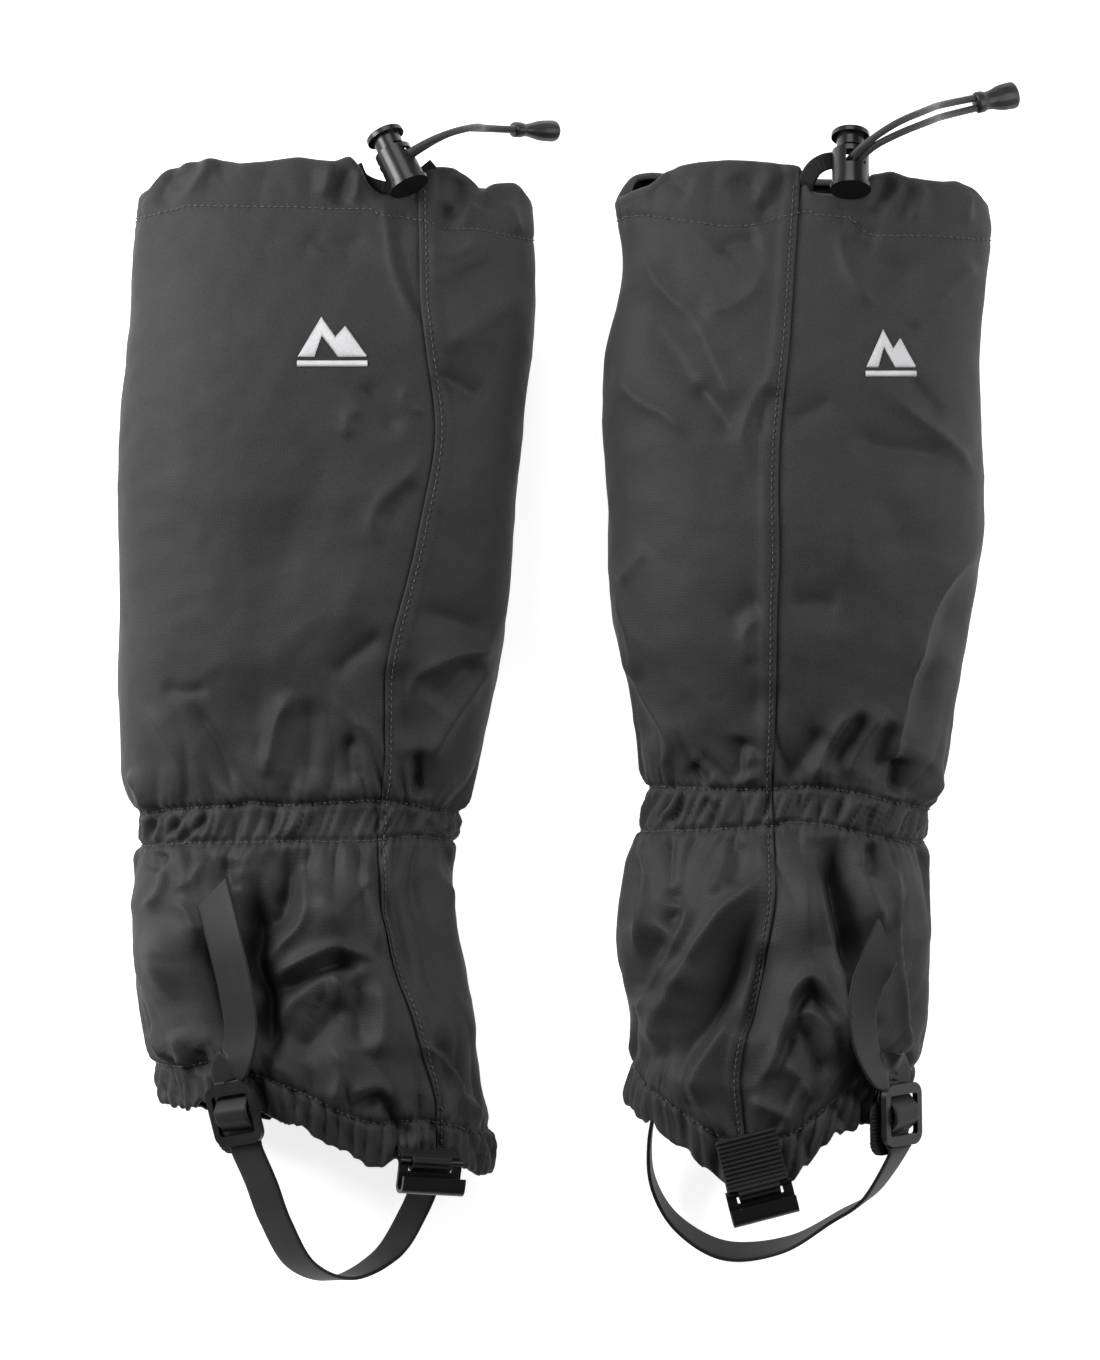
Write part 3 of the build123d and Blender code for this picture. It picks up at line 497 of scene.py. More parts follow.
# Folds in the cloth, as the tube lies: (height, width, line on the upper face). Hollows are negative.
RIGHT_FOLDS = (
    (-1.5, 4, ((-158.4, 8.1), (-149.1, 6.1), (-138.4, 7.5))),
    (-3.2, 4, ((-147.7, 2.8), (-142.4, -5.2), (-137.1, -14.5), (-132.4, -25.2), (-127.7, -37.2))),
    (1.4, 3.5, ((-166.4, 2.8), (-158.4, -9.2), (-149.1, -26.5), (-147.1, -38.5))),
    (-3.5, 13, ((-119.7, 18.8), (-118.4, -6.5), (-119.7, -35.9))),
    (2.4, 5, ((-117.1, -29.2), (-111.7, -5.2), (-104.4, 6.8))),
    (-3, 6, ((-99.1, 4.1), (-98.1, -13.2), (-99.5, -33.2))),
    (1.4, 3, ((-90.4, 9.5), (-83.7, -3.9), (-75.7, -9.2), (-69.1, -18.5), (-68.8, -26.5))),
    (-2.4, 4, ((-79.1, -11.2), (-83.1, -18.5), (-81.1, -31.9))),
    (-3, 5, ((-90.4, 9.5), (-83.7, 17.5), (-75.7, 24.1), (-69.1, 30.8))),
    (3, 6, ((-22.4, 17.5), (-31.7, 9.5), (-41.1, -3.9), (-49.1, -18.5), (-52.4, -30.5))),
    (-3.5, 4, ((-54.4, -17.2), (-53.3, -26.5), (-54.4, -37.2))),
    (1.8, 4, ((-21.7, 20.1), (-34.4, 21.5), (-46.4, 18.8), (-55.7, 12.1), (-59.7, 0.1))),
    (-2.5, 8, ((-62.4, 18.8), (-61.7, 0.1), (-58.4, -17.2))),
    (-2.6, 7, ((-29.1, 17.5), (-38.4, 12.1), (-49.1, 0.1))),
    (1.6, 4, ((-166.4, -81.2), (-159.1, -75.9), (-155.7, -66.5), (-154.1, -58.5))),
    (1.6, 4, ((-153.7, -72.5), (-147.7, -71.2), (-142.4, -65.2), (-138.4, -58.5))),
    (-2, 5, ((-161.1, -66.5), (-159.1, -59.9), (-158.4, -57.2))),
    (-2.6, 5, ((-130.4, -59.9), (-131.7, -66.5), (-129.1, -74.5))),
    (4, 14, ((-155.1, -83.9), (-157.1, -99.9), (-155.7, -119.9))),
    (2, 4, ((-155.1, -79.9), (-149.1, -79.9), (-144.4, -87.9), (-142.4, -101.2))),
    (-6, 6, ((-142.4, -87.9), (-140.4, -101.2), (-136.4, -114.5), (-132.8, -127.9), (-131.1, -137.2))),
    (-10, 8, ((-119.7, -65.2), (-119.7, -79.9), (-118.7, -89.2), (-120.8, -99.9), (-115.7, -113.2),
              (-115.1, -126.5), (-115.7, -145.2))),
    (-5.5, 7, ((-107.7, -55.9), (-106.4, -66.5), (-107.7, -78.5), (-114.4, -90.5))),
    (3.2, 4, ((-119.1, -104.5), (-111.7, -96.5), (-102.4, -86.5), (-100.8, -74.5), (-101.7, -61.2))),
    (5, 16, ((-97.1, -69.2), (-90.4, -83.9), (-81.1, -90.5))),
    (2.6, 4, ((-74.4, -59.9), (-76.4, -69.2), (-71.7, -87.9), (-70.7, -99.9))),
    (3.4, 4, ((-119.7, -108.1), (-107.7, -104.5), (-97.1, -99.9), (-88.4, -96.5), (-79.7, -98.5),
              (-71.1, -100.9))),
    (-6, 5, ((-113.1, -112.5), (-105.1, -111.2), (-95.7, -106.5), (-86.4, -101.9), (-75.7, -101.9))),
    (4.2, 7, ((-111.7, -133.2), (-107.7, -119.9), (-99.7, -111.9), (-91.1, -107.2), (-87.1, -113.2),
              (-88.4, -121.2))),
    (-3, 6, ((-79.7, -105.2), (-78.4, -119.9), (-77.1, -137.2))),
    (-3, 6, ((-102.4, -142.5), (-97.1, -133.2), (-89.1, -123.9), (-83.1, -117.2))),
    (2, 4, ((-90.4, -159.9), (-86.1, -147.9), (-88.4, -135.2))),
    (2.4, 5, ((-84.4, -159.9), (-78.4, -153.2), (-70.4, -151.9), (-63.7, -158.5), (-57.1, -170.5))),
    (-3, 4, ((-81.1, -162.5), (-75.7, -157.9), (-69.1, -157.2), (-62.4, -166.5), (-57.7, -175.9))),
    (2.2, 4, ((-51.1, -58.5), (-45.7, -69.2), (-41.1, -79.9), (-35.7, -99.9), (-32, -119.9),
              (-31.7, -146.5))),
    (-2.5, 8, ((-58.4, -58.5), (-54.4, -74.5), (-49.1, -99.9), (-42.4, -126.5))),
    (2.6, 3, ((-55.7, -135.2), (-47.7, -138.5), (-40.8, -146.5), (-34.4, -159.2), (-29.1, -169.2))),
    (-3, 5, ((-51.1, -131.9), (-42.4, -138.5), (-35.7, -149.2), (-31.1, -159.9))),
    (-2.6, 5, ((-69.1, -71.9), (-65.1, -85.2), (-60.4, -101.2), (-55.7, -118.5))),
    (2.4, 6, ((-70.4, -107.9), (-69.1, -125.2), (-71.7, -141.2))),
    (-2.2, 4, ((-145.1, -137.2), (-142.4, -141.2), (-143.7, -147.9))),
    (1.8, 4, ((-153.7, -129.2), (-150.4, -137.2), (-149.1, -146.5))),
    (2.2, 4, ((-165.1, -130.5), (-158.4, -134.5), (-153.7, -141.2))),
    (2.4, 4, ((-171.1, -25.2), (-165.7, -33.2), (-161.1, -42.5))),
    (-2.6, 5, ((-152.4, 218.1), (-157.1, 209.5), (-161.1, 200.1))),
    (2, 5, ((-138.4, 220.1), (-143.7, 210.8), (-150.4, 203.5))),
    (-2.2, 5, ((-142.4, 220.1), (-148.4, 212.8), (-153.7, 206.1))),
    (-1.8, 5, ((-129.1, 220.1), (-133.7, 216.8), (-137.1, 214.8))),
    (-3.4, 4.5, ((-82.7, 216.1), (-85.3, 207.5), (-88.4, 199.9))),
    (2.2, 5, ((-90.4, 217.5), (-91.7, 209.5), (-93.7, 202.8))),
    (2, 5, ((-79.1, 214.8), (-79.7, 206.8), (-81.1, 201.5))),
    (1.8, 3, ((-69.1, 204.1), (-67.5, 190.8), (-65.1, 174.8), (-58.4, 158.8), (-53.3, 149.5))),
    (-1.4, 3, ((-63.7, 200.1), (-61.7, 181.5), (-56.4, 162.8), (-52.4, 152.1))),
    (-1.8, 6, ((-101.1, 189.5), (-91.7, 183.5), (-81.7, 185.5), (-75.7, 190.8))),
    (1.4, 4, ((-99.7, 184.8), (-91.7, 180.8), (-83.7, 182.1))),
    (1.8, 4, ((-52.4, 184.1), (-42.4, 180.4), (-34.4, 184.1), (-32.4, 190.8))),
    (-3, 5, ((-41.1, 201.5), (-43.7, 193.5), (-44.4, 190.8))),
    (-3, 5, ((-38.4, 213.5), (-39.1, 204.1), (-42.4, 194.8))),
    (2.4, 6, ((-31.7, 209.5), (-34.4, 200.1), (-38.4, 193.5))),
    (-3.4, 6, ((-26.4, 209.5), (-27.1, 204.1), (-29.1, 198.8))),
    (1.6, 4, ((-19.1, 202.8), (-16.4, 194.8), (-13.7, 188.8))),
    (-2.8, 10, ((-52.4, 160.1), (-41.1, 166.8), (-29.1, 176.1), (-11.7, 178.8))),
    (1.8, 8, ((-51.1, 170.8), (-38.4, 176.1), (-25.1, 181.5))),
    (2.4, 9, ((-47.7, 142.8), (-35.7, 149.5), (-21.1, 160.1), (-10.4, 168.1))),
    (-2.8, 6, ((-49.1, 133.5), (-38.4, 128.8), (-27.7, 122.1))),
    (-2.4, 5, ((-78.4, 129.5), (-71.7, 121.5), (-62.4, 108.8))),
    (1.8, 5, ((-84.4, 106.8), (-82.4, 117.5), (-75.7, 118.8))),
    (1.4, 3, ((-50.4, 120.1), (-57.1, 118.8), (-61.1, 123.5), (-57.7, 128.1))),
    (1.8, 5, ((-51.1, 103.5), (-58.4, 93.5), (-69.1, 83.5), (-73.7, 74.1), (-71.1, 62.8))),
    (-2, 6, ((-54.4, 89.5), (-62.4, 81.5), (-67.7, 70.8))),
    (-3, 20, ((-89.1, 117.5), (-97.1, 88.1), (-113.1, 50.8), (-119.7, 14.8))),
    (2, 16, ((-73.1, 61.5), (-81.1, 45.5), (-89.1, 24.1))),
    (2, 14, ((-38.4, 106.8), (-35.7, 88.1), (-39.7, 61.5))),
    (-2.4, 8, ((-57.1, 37.5), (-41.1, 34.8), (-26.4, 26.8))),
    (2, 4, ((-21.7, 21.5), (-31.7, 22.8), (-43.7, 19.5), (-55.7, 10.8))),
)
LEFT_FOLDS = (
    (-3.2, 5, ((92.5, 216.1), (88.9, 207.5), (82.3, 197.5), (78.3, 193.2))),
    (2, 5, ((86.3, 216.1), (84.3, 208.1), (78.9, 200.1))),
    (-1.8, 5, ((42.9, 214.8), (48.3, 209.5), (54.3, 206.1))),
    (-2, 5, ((71.6, 212.8), (74.9, 208.1), (80.3, 209.5))),
    (-2.8, 7, ((64.3, 180.8), (69.6, 185.2), (82.3, 188.1))),
    (2, 5, ((56.3, 158.5), (68.3, 159.9), (78.3, 166.1), (83.2, 176.1))),
    (2.2, 6, ((34.3, 184.1), (40.3, 170.8), (49.6, 160.1), (57.6, 154.8))),
    (-5.5, 15, ((29.6, 168.1), (41.6, 149.5), (57.6, 128.1), (68.3, 113.5))),
    (-3, 6, ((53.6, 130.8), (64.3, 118.8), (71.2, 107.5))),
    (2.2, 6, ((22.3, 134.8), (32.3, 123.5), (44.3, 116.8), (53.6, 106.8))),
    (3, 9, ((53.6, 160.1), (62.9, 138.8), (72.3, 117.5))),
    (2, 5, ((89.9, 139.5), (80.9, 124.1), (74.7, 110.1), (78.3, 100.1), (84.3, 94.1))),
    (-2, 5, ((88.3, 128.1), (82.9, 117.5), (82.3, 106.8))),
    (1.8, 4, ((24.3, 48.8), (29.6, 54.8), (35.6, 64.8))),
    (2, 3.5, ((23.2, 48.1), (29.3, 29.5), (33.9, 9.5))),
    (2.2, 4, ((113.6, 190.8), (115.6, 177.5), (122.9, 165.5), (129.6, 160.1))),
    (-3.6, 11, ((124.3, 178.8), (134.9, 174.8), (148.3, 169.5))),
    (-2.5, 5, ((117.6, 192.1), (122.9, 188.1), (129.6, 185.5))),
    (2.2, 5, ((150.9, 162.1), (160.3, 170.8), (168.9, 178.1))),
    (1.6, 4, ((140.9, 152.1), (149.6, 159.5), (156.3, 162.8))),
    (-3, 4.5, ((133.6, 212.8), (129.6, 204.1), (126.9, 196.1))),
    (-2.6, 4, ((142.9, 209.5), (139.6, 201.5), (137.6, 193.5))),
    (2, 4, ((138.3, 210.8), (134.9, 202.8), (132.9, 194.8))),
    (2, 4, ((148.9, 208.1), (144.3, 201.5), (142.9, 193.5))),
    (1.8, 4, ((165.6, 206.8), (164.3, 198.8), (162.9, 192.1))),
    (2.4, 5, ((128.9, 130.8), (137.6, 121.5), (149.6, 112.1), (158.9, 103.5), (166.7, 89.5))),
    (-1.8, 4, ((140.9, 132.8), (148.3, 124.1), (156.3, 114.8))),
    (-3.2, 8, ((116.3, 108.1), (133.6, 103.5), (150.9, 100.8), (160.3, 96.1))),
    (-1.6, 5, ((91.6, 114.1), (101.6, 118.1), (110.9, 124.1))),
    (3, 4, ((170.3, 62.8), (160.3, 54.8), (153.6, 42.8), (146.9, 26.8), (141.6, 10.8))),
    (-3.5, 9, ((166.9, 53.5), (158.9, 37.5), (153.6, 18.8))),
    (-2, 14, ((125.6, 90.8), (137.6, 70.8), (136.3, 48.1))),
    (2, 14, ((113.6, 84.1), (118.9, 68.1), (110.9, 48.1))),
    (1.6, 4, ((82.3, 38.1), (75.6, 29.5), (77.6, 16.1))),
    (-2.4, 8, ((66.9, 32.1), (76.3, 40.1), (84.3, 42.8))),
    (-2.2, 7, ((92.3, 38.8), (102.9, 41.5), (114.9, 40.1))),
    (3, 3.5, ((148.9, 29.5), (143.3, 13.5), (138.7, -3.9), (135.9, -17.2), (135.6, -30.5))),
    (-4, 9, ((154.9, 26.8), (149.6, 8.1), (144.3, -13.2))),
    (-4.5, 4.5, ((138.3, -19.9), (137.3, -29.2), (136.3, -35.9))),
    (2, 4, ((159.6, -25.9), (151.6, -31.9), (148.3, -39.9))),
    (2.6, 4.5, ((101.6, -30.5), (107.6, -18.5), (115.6, -5.2), (122.9, 0.1))),
    (-2.6, 6, ((90.3, -29.2), (97.6, -23.2), (107.6, -7.9))),
    (-2.8, 5, ((108.9, -25.2), (115.6, -14.5), (124.3, -1.9))),
    (2.4, 5, ((114.9, -30.5), (121.6, -15.9), (132.9, 0.1))),
    (-2.2, 5, ((126.9, -29.2), (130.9, -15.9), (134.9, -5.2))),
    (-2.4, 5, ((74.9, -11.9), (73.3, -21.2), (76.3, -29.9))),
    (-2, 9, ((84.9, 10.8), (78.3, -2.5), (76.9, -11.9))),
    (1.8, 4, ((78.9, -17.2), (76.3, -23.9), (78.9, -30.5))),
    (2.4, 3.5, ((24.3, 28.1), (36.3, 2.8), (45.3, -13.2), (42.9, -23.9), (38.3, -31.9))),
    (-2.6, 6, ((25.6, 14.8), (33.6, -2.5), (38.3, -17.2))),
    (-2, 4, ((53.6, -22.5), (58.9, -27.9), (61.6, -30.5))),
    (2, 4, ((68.9, -53.2), (66.9, -63.9), (61.3, -75.9))),
    (-1.8, 5, ((73.6, -53.2), (70.9, -65.2), (68.3, -71.9))),
    (3, 5, ((86.3, -63.2), (76.3, -74.5), (67.6, -80.5), (60.3, -89.2), (52.9, -101.2), (49.6, -114.5))),
    (-10, 9, ((84.3, -74.5), (76.3, -90.5), (68.3, -105.2), (60.3, -121.2), (53.6, -134.5),
              (48.3, -149.2))),
    (3.6, 7, ((72.3, -119.9), (62.9, -134.5), (56.3, -147.9), (55.6, -159.9))),
    (2.6, 4, ((40.9, -75.9), (51.2, -81.5), (48.3, -93.2), (40.5, -106.5), (36.3, -115.2), (34.3, -126.5))),
    (-4, 8, ((42.9, -89.2), (34.9, -103.9), (32.9, -119.9))),
    (2.4, 3.5, ((36.3, -47.9), (35.2, -73.2), (32.3, -91.9), (30.3, -101.2))),
    (-2.6, 5, ((30.9, -55.9), (28.9, -74.5), (27.6, -90.5))),
    (-2.4, 5, ((44.3, -71.9), (48.3, -79.9), (41.6, -87.9))),
    (3.4, 8, ((42.3, -139.9), (40.5, -129.2), (45.6, -114.5), (53.6, -101.2))),
    (4, 11, ((98.9, -55.9), (100.3, -74.5), (100.9, -99.9))),
    (2.8, 4, ((102.9, -55.9), (106.9, -79.9), (112, -101.2), (116.3, -119.9), (119.2, -145.2))),
    (-9, 7, ((110.3, -51.9), (111.6, -66.5), (115.6, -83.9), (118.3, -97.2), (114.9, -107.9))),
    (3.2, 7, ((120.3, -53.2), (122.9, -69.2), (128.3, -82.5), (134.3, -89.2))),
    (-2.4, 5, ((125.6, -53.2), (126.9, -61.2), (124.3, -69.2))),
    (3, 4, ((76.3, -154.5), (85.6, -143.9), (92.3, -124.5), (94.9, -114.5), (101.6, -107.9),
            (108.5, -114.5), (114.9, -123.9), (119.2, -139.9))),
    (-4, 4.5, ((88.3, -145.2), (94.9, -127.9), (97.6, -118.5), (102.3, -113.9), (108.3, -119.2),
               (113.6, -126.5))),
    (2.2, 4, ((93.6, -134.5), (94.9, -125.9), (101.6, -121.9), (108.5, -129.2), (111.6, -145.2))),
    (-2.6, 3.5, ((98.3, -126.5), (102.9, -137.2), (108.3, -149.2))),
    (2, 3.5, ((90.9, -139.9), (98.9, -150.5), (102.9, -157.2))),
    (-5, 6, ((84.3, -93.2), (79.6, -111.9), (74.9, -133.2))),
    (3, 4, ((135.2, -55.9), (136.3, -79.9), (137.9, -103.9), (140.9, -126.5), (141.9, -147.9))),
    (-3.6, 8, ((140.9, -66.5), (142.9, -93.2), (145.6, -119.9), (144.3, -139.9))),
    (2.4, 4, ((126.3, -126.5), (128, -138.5), (134.9, -150.5))),
    (-5, 5, ((122.9, -122.5), (124.3, -137.2), (129.6, -147.9))),
    (2, 5, ((76.3, -157.2), (84.3, -159.9), (94.9, -165.2))),
)

FOLDS = {"right": RIGHT_FOLDS, "left": LEFT_FOLDS}

# Rows of points from the rim to its stitch line, to the ankle band, across it, to the hem band and across it.
BODY_ROWS = (15, 186, 18, 88, 15)
COLUMN_STEP = 1.2
RIM_ROLL = 3.5
HEM_ROLL = 1.7
CLOTH_T = 0.8
# Hollows that make room behind the buckle and the hook: (x, y, reach, depth).
PRESSED = {"right": (), "left": ((136, -158, 18, 4.0), (81, -181, 12, 1.8))}
# How much deeper the folds are than their tables say, above the ankle and below it.
UPPER_GAIN = 1.15
LOWER_GAIN = 1.85
# The tube's section: where its widest height is, and how square it is across, above and beneath.
WAIST = 0.36
ABOVE_WAIST = 0.64
SQUARE_ACROSS = 0.86
SQUARE_TOP = 0.92
SQUARE_UNDER = 0.55
LOWEST = 0.5
LOWEST_EDGE = 0.15


def value_at(points, at):
    """A value between the points of a table."""
    points = np.array(sorted(points), float)
    return np.interp(at, points[:, 0], points[:, 1])


def level(points):
    """A level line at a table's mean height."""
    return tuple((x, np.mean([p[1] for p in points])) for x, _ in points[:2])


def soft_noise(rng, rows, columns, row_wave, column_wave):
    """Smooth noise about zero, of unit spread, that closes round the tube."""
    white = rng.standard_normal((rows, columns))
    fr = np.fft.fftfreq(rows)[:, None] * row_wave
    fc = np.fft.fftfreq(columns)[None, :] * column_wave
    out = np.real(np.fft.ifft2(np.fft.fft2(white) * np.exp(-2.2 * (fr**2 + fc**2))))
    return out / out.std()


class Tube:
    """One gaiter's cloth: a grid of surface points.

    Rows run down from the rim, columns round from the back.
    """

    def __init__(self, name, seed):
        self.name = name
        self.d = SIDES[name]
        self.rng = np.random.default_rng(seed)
        self.sections()
        self.rows_and_columns()
        self.wrinkle()

    def outline(self, y):
        """The section at one height: its points, and where the seams cut it."""
        d = self.d
        left, right = self.left(y), self.right(y)
        mid, half = (left + right) / 2, (right - left) / 2
        gap, high = value_at(d["gap"], y), value_at(d["top"], y)
        waist = gap + WAIST * high

        def angle(x, upper):
            c = np.clip((x - mid) / half, -0.999, 0.999)
            a = math.acos(math.copysign(abs(c) ** (1 / SQUARE_ACROSS), c))
            return a if upper else 2 * math.pi - a

        def points(theta):
            c, s = np.cos(theta), np.sin(theta)
            x = mid + half * np.sign(c) * np.abs(c) ** SQUARE_ACROSS
            up = waist + ABOVE_WAIST * high * np.abs(s) ** SQUARE_TOP
            low = waist - (waist - gap - 0.6) * np.abs(s) ** SQUARE_UNDER
            return np.stack([x, np.full_like(x, y), np.where(s >= 0, up, low)], axis=1)

        front = angle(self.seam(y), True)
        back = angle(value_at(d["back"], y), False)
        return points, front, back

    def sections(self):
        """A table of points round the tube at each height, evenly spaced from seam to seam."""
        d = self.d
        grid = np.arange(-205, 231, 1.0)

        def smooth_line(points, sigma):
            line = blur(value_at(points, grid), sigma)
            return lambda y: float(np.interp(y, grid, line))

        self.left = smooth_line(d["left"], 2.5)
        self.right = smooth_line(d["right"], 2.5)
        self.seam = smooth_line(d["seam"], 4.0)
        self.ys = np.arange(-202, 229, 2.0)
        girths = []
        for y in (150, 60, -20, -100):
            points, front, back = self.outline(y)
            one = points(np.linspace(back, front, 200))
            two = points(np.linspace(front, back - 2 * math.pi, 200))
            girths.append([np.linalg.norm(np.diff(p, axis=0), axis=1).sum() for p in (one, two)])
        girths = np.mean(girths, axis=0)
        self.c1, self.c2 = (int(g / COLUMN_STEP) for g in girths)
        self.columns = self.c1 + self.c2
        table = np.empty((len(self.ys), self.columns + 1, 3))
        for k, y in enumerate(self.ys):
            points, front, back = self.outline(y)
            halves = []
            for a, b, count in ((back, front, self.c1), (front, back - 2 * math.pi, self.c2)):
                p = points(np.linspace(a, b, 260))
                run = np.concatenate([[0], np.cumsum(np.linalg.norm(np.diff(p, axis=0), axis=1))])
                at = np.linspace(0, run[-1], count + 1)
                halves.append(np.stack([np.interp(at, run, p[:, i]) for i in range(3)], axis=1))
            table[k] = np.vstack([halves[0], halves[1][1:]])
        for axis in (0, 2):
            for j in range(table.shape[1]):
                table[:, j, axis] = blur(table[:, j, axis], 1.6)
        self.table = table[:, :-1]

    def place(self, y):
        """Surface points for a height in each column."""
        out = np.empty(y.shape + (3,))
        out[..., 1] = y
        for j in range(self.columns):
            out[:, j, 0] = np.interp(y[:, j], self.ys, self.table[:, j, 0])
            out[:, j, 2] = np.interp(y[:, j], self.ys, self.table[:, j, 2])
        return out

    def line(self, upper, lower, at_y, sigma=1.5):
        """The height of an edge or stitch line in each column, on the upper face and beneath."""
        k = int(np.argmin(np.abs(self.ys - at_y)))
        x, z = self.table[k, :, 0], self.table[k, :, 2]
        share = smoothstep((z / z.max() - 0.12) / 0.2)
        y = share * value_at(upper, x) + (1 - share) * value_at(lower, x)
        return ring_blur(y, sigma)

    def rows_and_columns(self):
        """The grid's heights: rows spread between the rim, the stitch lines and the hem."""
        d, rng = self.d, self.rng
        rim = self.line(d["rim"], d["rim_low"], d["rim_y"], 1.0) - RIM_ROLL
        stitch_low = tuple((x, y - 19) for x, y in d["rim_low"])
        rim_stitch = self.line(d["rim_stitch"], stitch_low, d["rim_y"] - 18)
        rim_stitch = np.minimum(rim_stitch, rim - 6)
        ankle_top = self.line(d["ankle_top"], level(d["ankle_top"]), -38)
        ankle_low = self.line(d["ankle_low"], level(d["ankle_low"]), -54)
        hem = self.line(d["hem"], d["hem_low"], d["hem_y"], 1.2) + HEM_ROLL
        self.hem_pleats = pleats_round(rng, self.columns, 3.6, 8.5)
        self.hem_waves = pleats_round(rng, self.columns, 8, 22)
        column = np.arange(self.columns, dtype=float)
        hem = hem + 1.7 * (self.hem_pleats(column, 3) - 0.5) - 2.6 * (self.hem_waves(column, 6) - 0.5)
        hem_stitch = ring_blur(hem, 7) + d["hem_width"]
        lines = [rim, rim_stitch, ankle_top, ankle_low, hem_stitch, hem]
        rows, anchors = [], [0]
        for (a, b), count in zip(zip(lines, lines[1:]), BODY_ROWS):
            t = np.arange(count)[:, None] / count
            rows.append(a + (b - a) * t)
            anchors.append(anchors[-1] + count)
        rows.append(lines[-1][None, :])
        self.y = np.vstack(rows)
        self.anchors = anchors
        self.base = self.place(self.y)
        self.normal = self.smooth_normals(self.base)

    def smooth_normals(self, p):
        """Outward normals, evened out between neighbours."""
        du = np.roll(p, -2, axis=1) - np.roll(p, 2, axis=1)
        dv = np.gradient(p, axis=0)
        n = unit(np.cross(du, dv))
        outward = p - p.mean(axis=1, keepdims=True)
        n *= np.sign((n * outward).sum(axis=-1, keepdims=True))
        for _ in range(6):
            n = n + np.roll(n, 1, axis=1) + np.roll(n, -1, axis=1)
            n[1:-1] = n[1:-1] + n[:-2] + n[2:]
            n = unit(n)
        return n

    def wrinkle(self):
        """Folds, gathers and pleats, as heights along the normal. The order of the random draws matters."""
        rows, columns = self.y.shape
        self.j = np.arange(columns, dtype=float)[None, :] * np.ones((rows, 1))
        self.h = np.zeros((rows, columns))
        self.up = smoothstep((self.normal[..., 2] - 0.05) / 0.35)
        self.large_folds()
        self.slant = soft_noise(self.rng, rows, columns, 90, 26)
        top, low, hem, edge = (self.y[self.anchors[i]] for i in (2, 3, 4, 5))
        self.ankle_band(top, low)
        self.gathers(top, 1, 20, 5.4, 23)
        self.gathers(low, -1, 20, 5.6, 23)
        self.gathers(hem, 1, 22, 5.8, 21)
        self.hem_band(hem, edge)
        self.puckers(top, low, hem)
        self.rim_scallops()
        self.press_in()
        self.unevenness(top, low, edge)
        s = self.base + self.normal * self.h[..., None]
        s[..., 2] = np.maximum(s[..., 2], LOWEST)
        self.s = s

    def large_folds(self):
        """The large folds, on the upper face only."""
        x, y = self.base[..., 0], self.base[..., 1]
        for height, width, points in FOLDS[self.name]:
            gain = UPPER_GAIN if points[0][1] > 0 else LOWER_GAIN
            spread = 0.85 if height > 0 else 0.95
            self.h += fold(x, y, height * gain, width * spread, points) * self.up

    def ankle_band(self, top, low):
        """Slanted ridges between the ankle band's two stitch lines."""
        j, y, slant = self.j, self.base[..., 1], self.slant
        broad, close = (pleats_round(self.rng, self.columns, *span) for span in ((7.5, 19), (3.6, 9)))
        a = (y - low) / (top - low)
        inside = np.clip(a, 0, 1)
        within = (a > 0) & (a < 1)
        lean = (inside - 0.5) * (7.0 + 6.0 * slant)
        other = (inside - 0.5) * (1.0 - 4.5 * slant)
        ridge = 4.4 * (broad(j - lean, 1) - 0.55) + 2.8 * (close(j - lean * 0.6 - other, 2) - 0.55)
        self.h += np.where(within, ridge * np.sin(math.pi * inside) ** 0.55, 0)

    def gathers(self, line, way, reach, tall, big):
        """Gathers that spread from a stitch line, upwards or downwards, and fade away from it."""
        j, y, rng = self.j, self.base[..., 1], self.rng
        wide = pleats_round(rng, self.columns, 8, big)
        tight = pleats_round(rng, self.columns, 3.2, 6)
        distance = np.maximum((y - line) * way, 0)
        outside = (y - line) * way > 0
        lean = distance * (0.15 + 0.35 * self.slant)
        fade = pleat_values(rng, self.columns, wide, 0.35, 1.0)
        far = np.exp(-((distance / (reach * fade(j - lean))) ** 1.4))
        grow = 0.25 + 0.75 * smoothstep(distance / 7)
        self.h += np.where(outside, (wide(j - lean, 2) - 0.45) * tall * far * grow, 0)
        self.h += np.where(outside, (tight(j - lean, 3) - 0.5) * 2.2 * np.exp(-distance / 5.5), 0)

    def hem_band(self, hem, edge):
        """Close ridges from the hem's stitch line down to its edge."""
        j = self.j
        b = np.clip((self.base[..., 1] - edge) / (hem - edge), 0, 1)
        lean = (b - 0.5) * (3.0 + 3.0 * self.slant)
        ridge = 3.4 * (self.hem_pleats(j - lean * 0.6, 4) - 0.55) + 3.8 * (self.hem_waves(j + lean, 5) - 0.55)
        self.h += np.where(b < 1, ridge * (0.65 + 0.35 * np.sin(math.pi * b)), 0)

    def puckers(self, top, low, hem):
        """Each stitch line pulls the cloth in, and puckers it."""
        pucker = 1 + 0.45 * np.sin(self.j * 2.1 + 3 * self.slant)
        for line, depth in ((top, 1.5), (low, 1.5), (hem, 1.2), (self.y[self.anchors[1]], 0.45)):
            self.h -= depth * pucker * np.exp(-(((self.base[..., 1] - line) / 1.5) ** 2))

    def rim_scallops(self):
        """Soft scallops where the drawcord gathers the rim."""
        scallop = pleats_round(self.rng, self.columns, 14, 26)
        under = np.maximum(self.y[0] - self.base[..., 1], 0)
        below = np.exp(-((under / 13) ** 2)) * (1 - 0.6 * np.exp(-((under / 3) ** 2)))
        self.h += (scallop(self.j, 5) - 0.5) * 1.8 * below

    def press_in(self):
        """The cloth gives way behind the buckle and the hook."""
        x, y = self.base[..., 0], self.base[..., 1]
        for px, py, reach, depth in PRESSED[self.name]:
            self.h -= depth * np.exp(-((x - px) ** 2 + (y - py) ** 2) / reach**2) * self.up

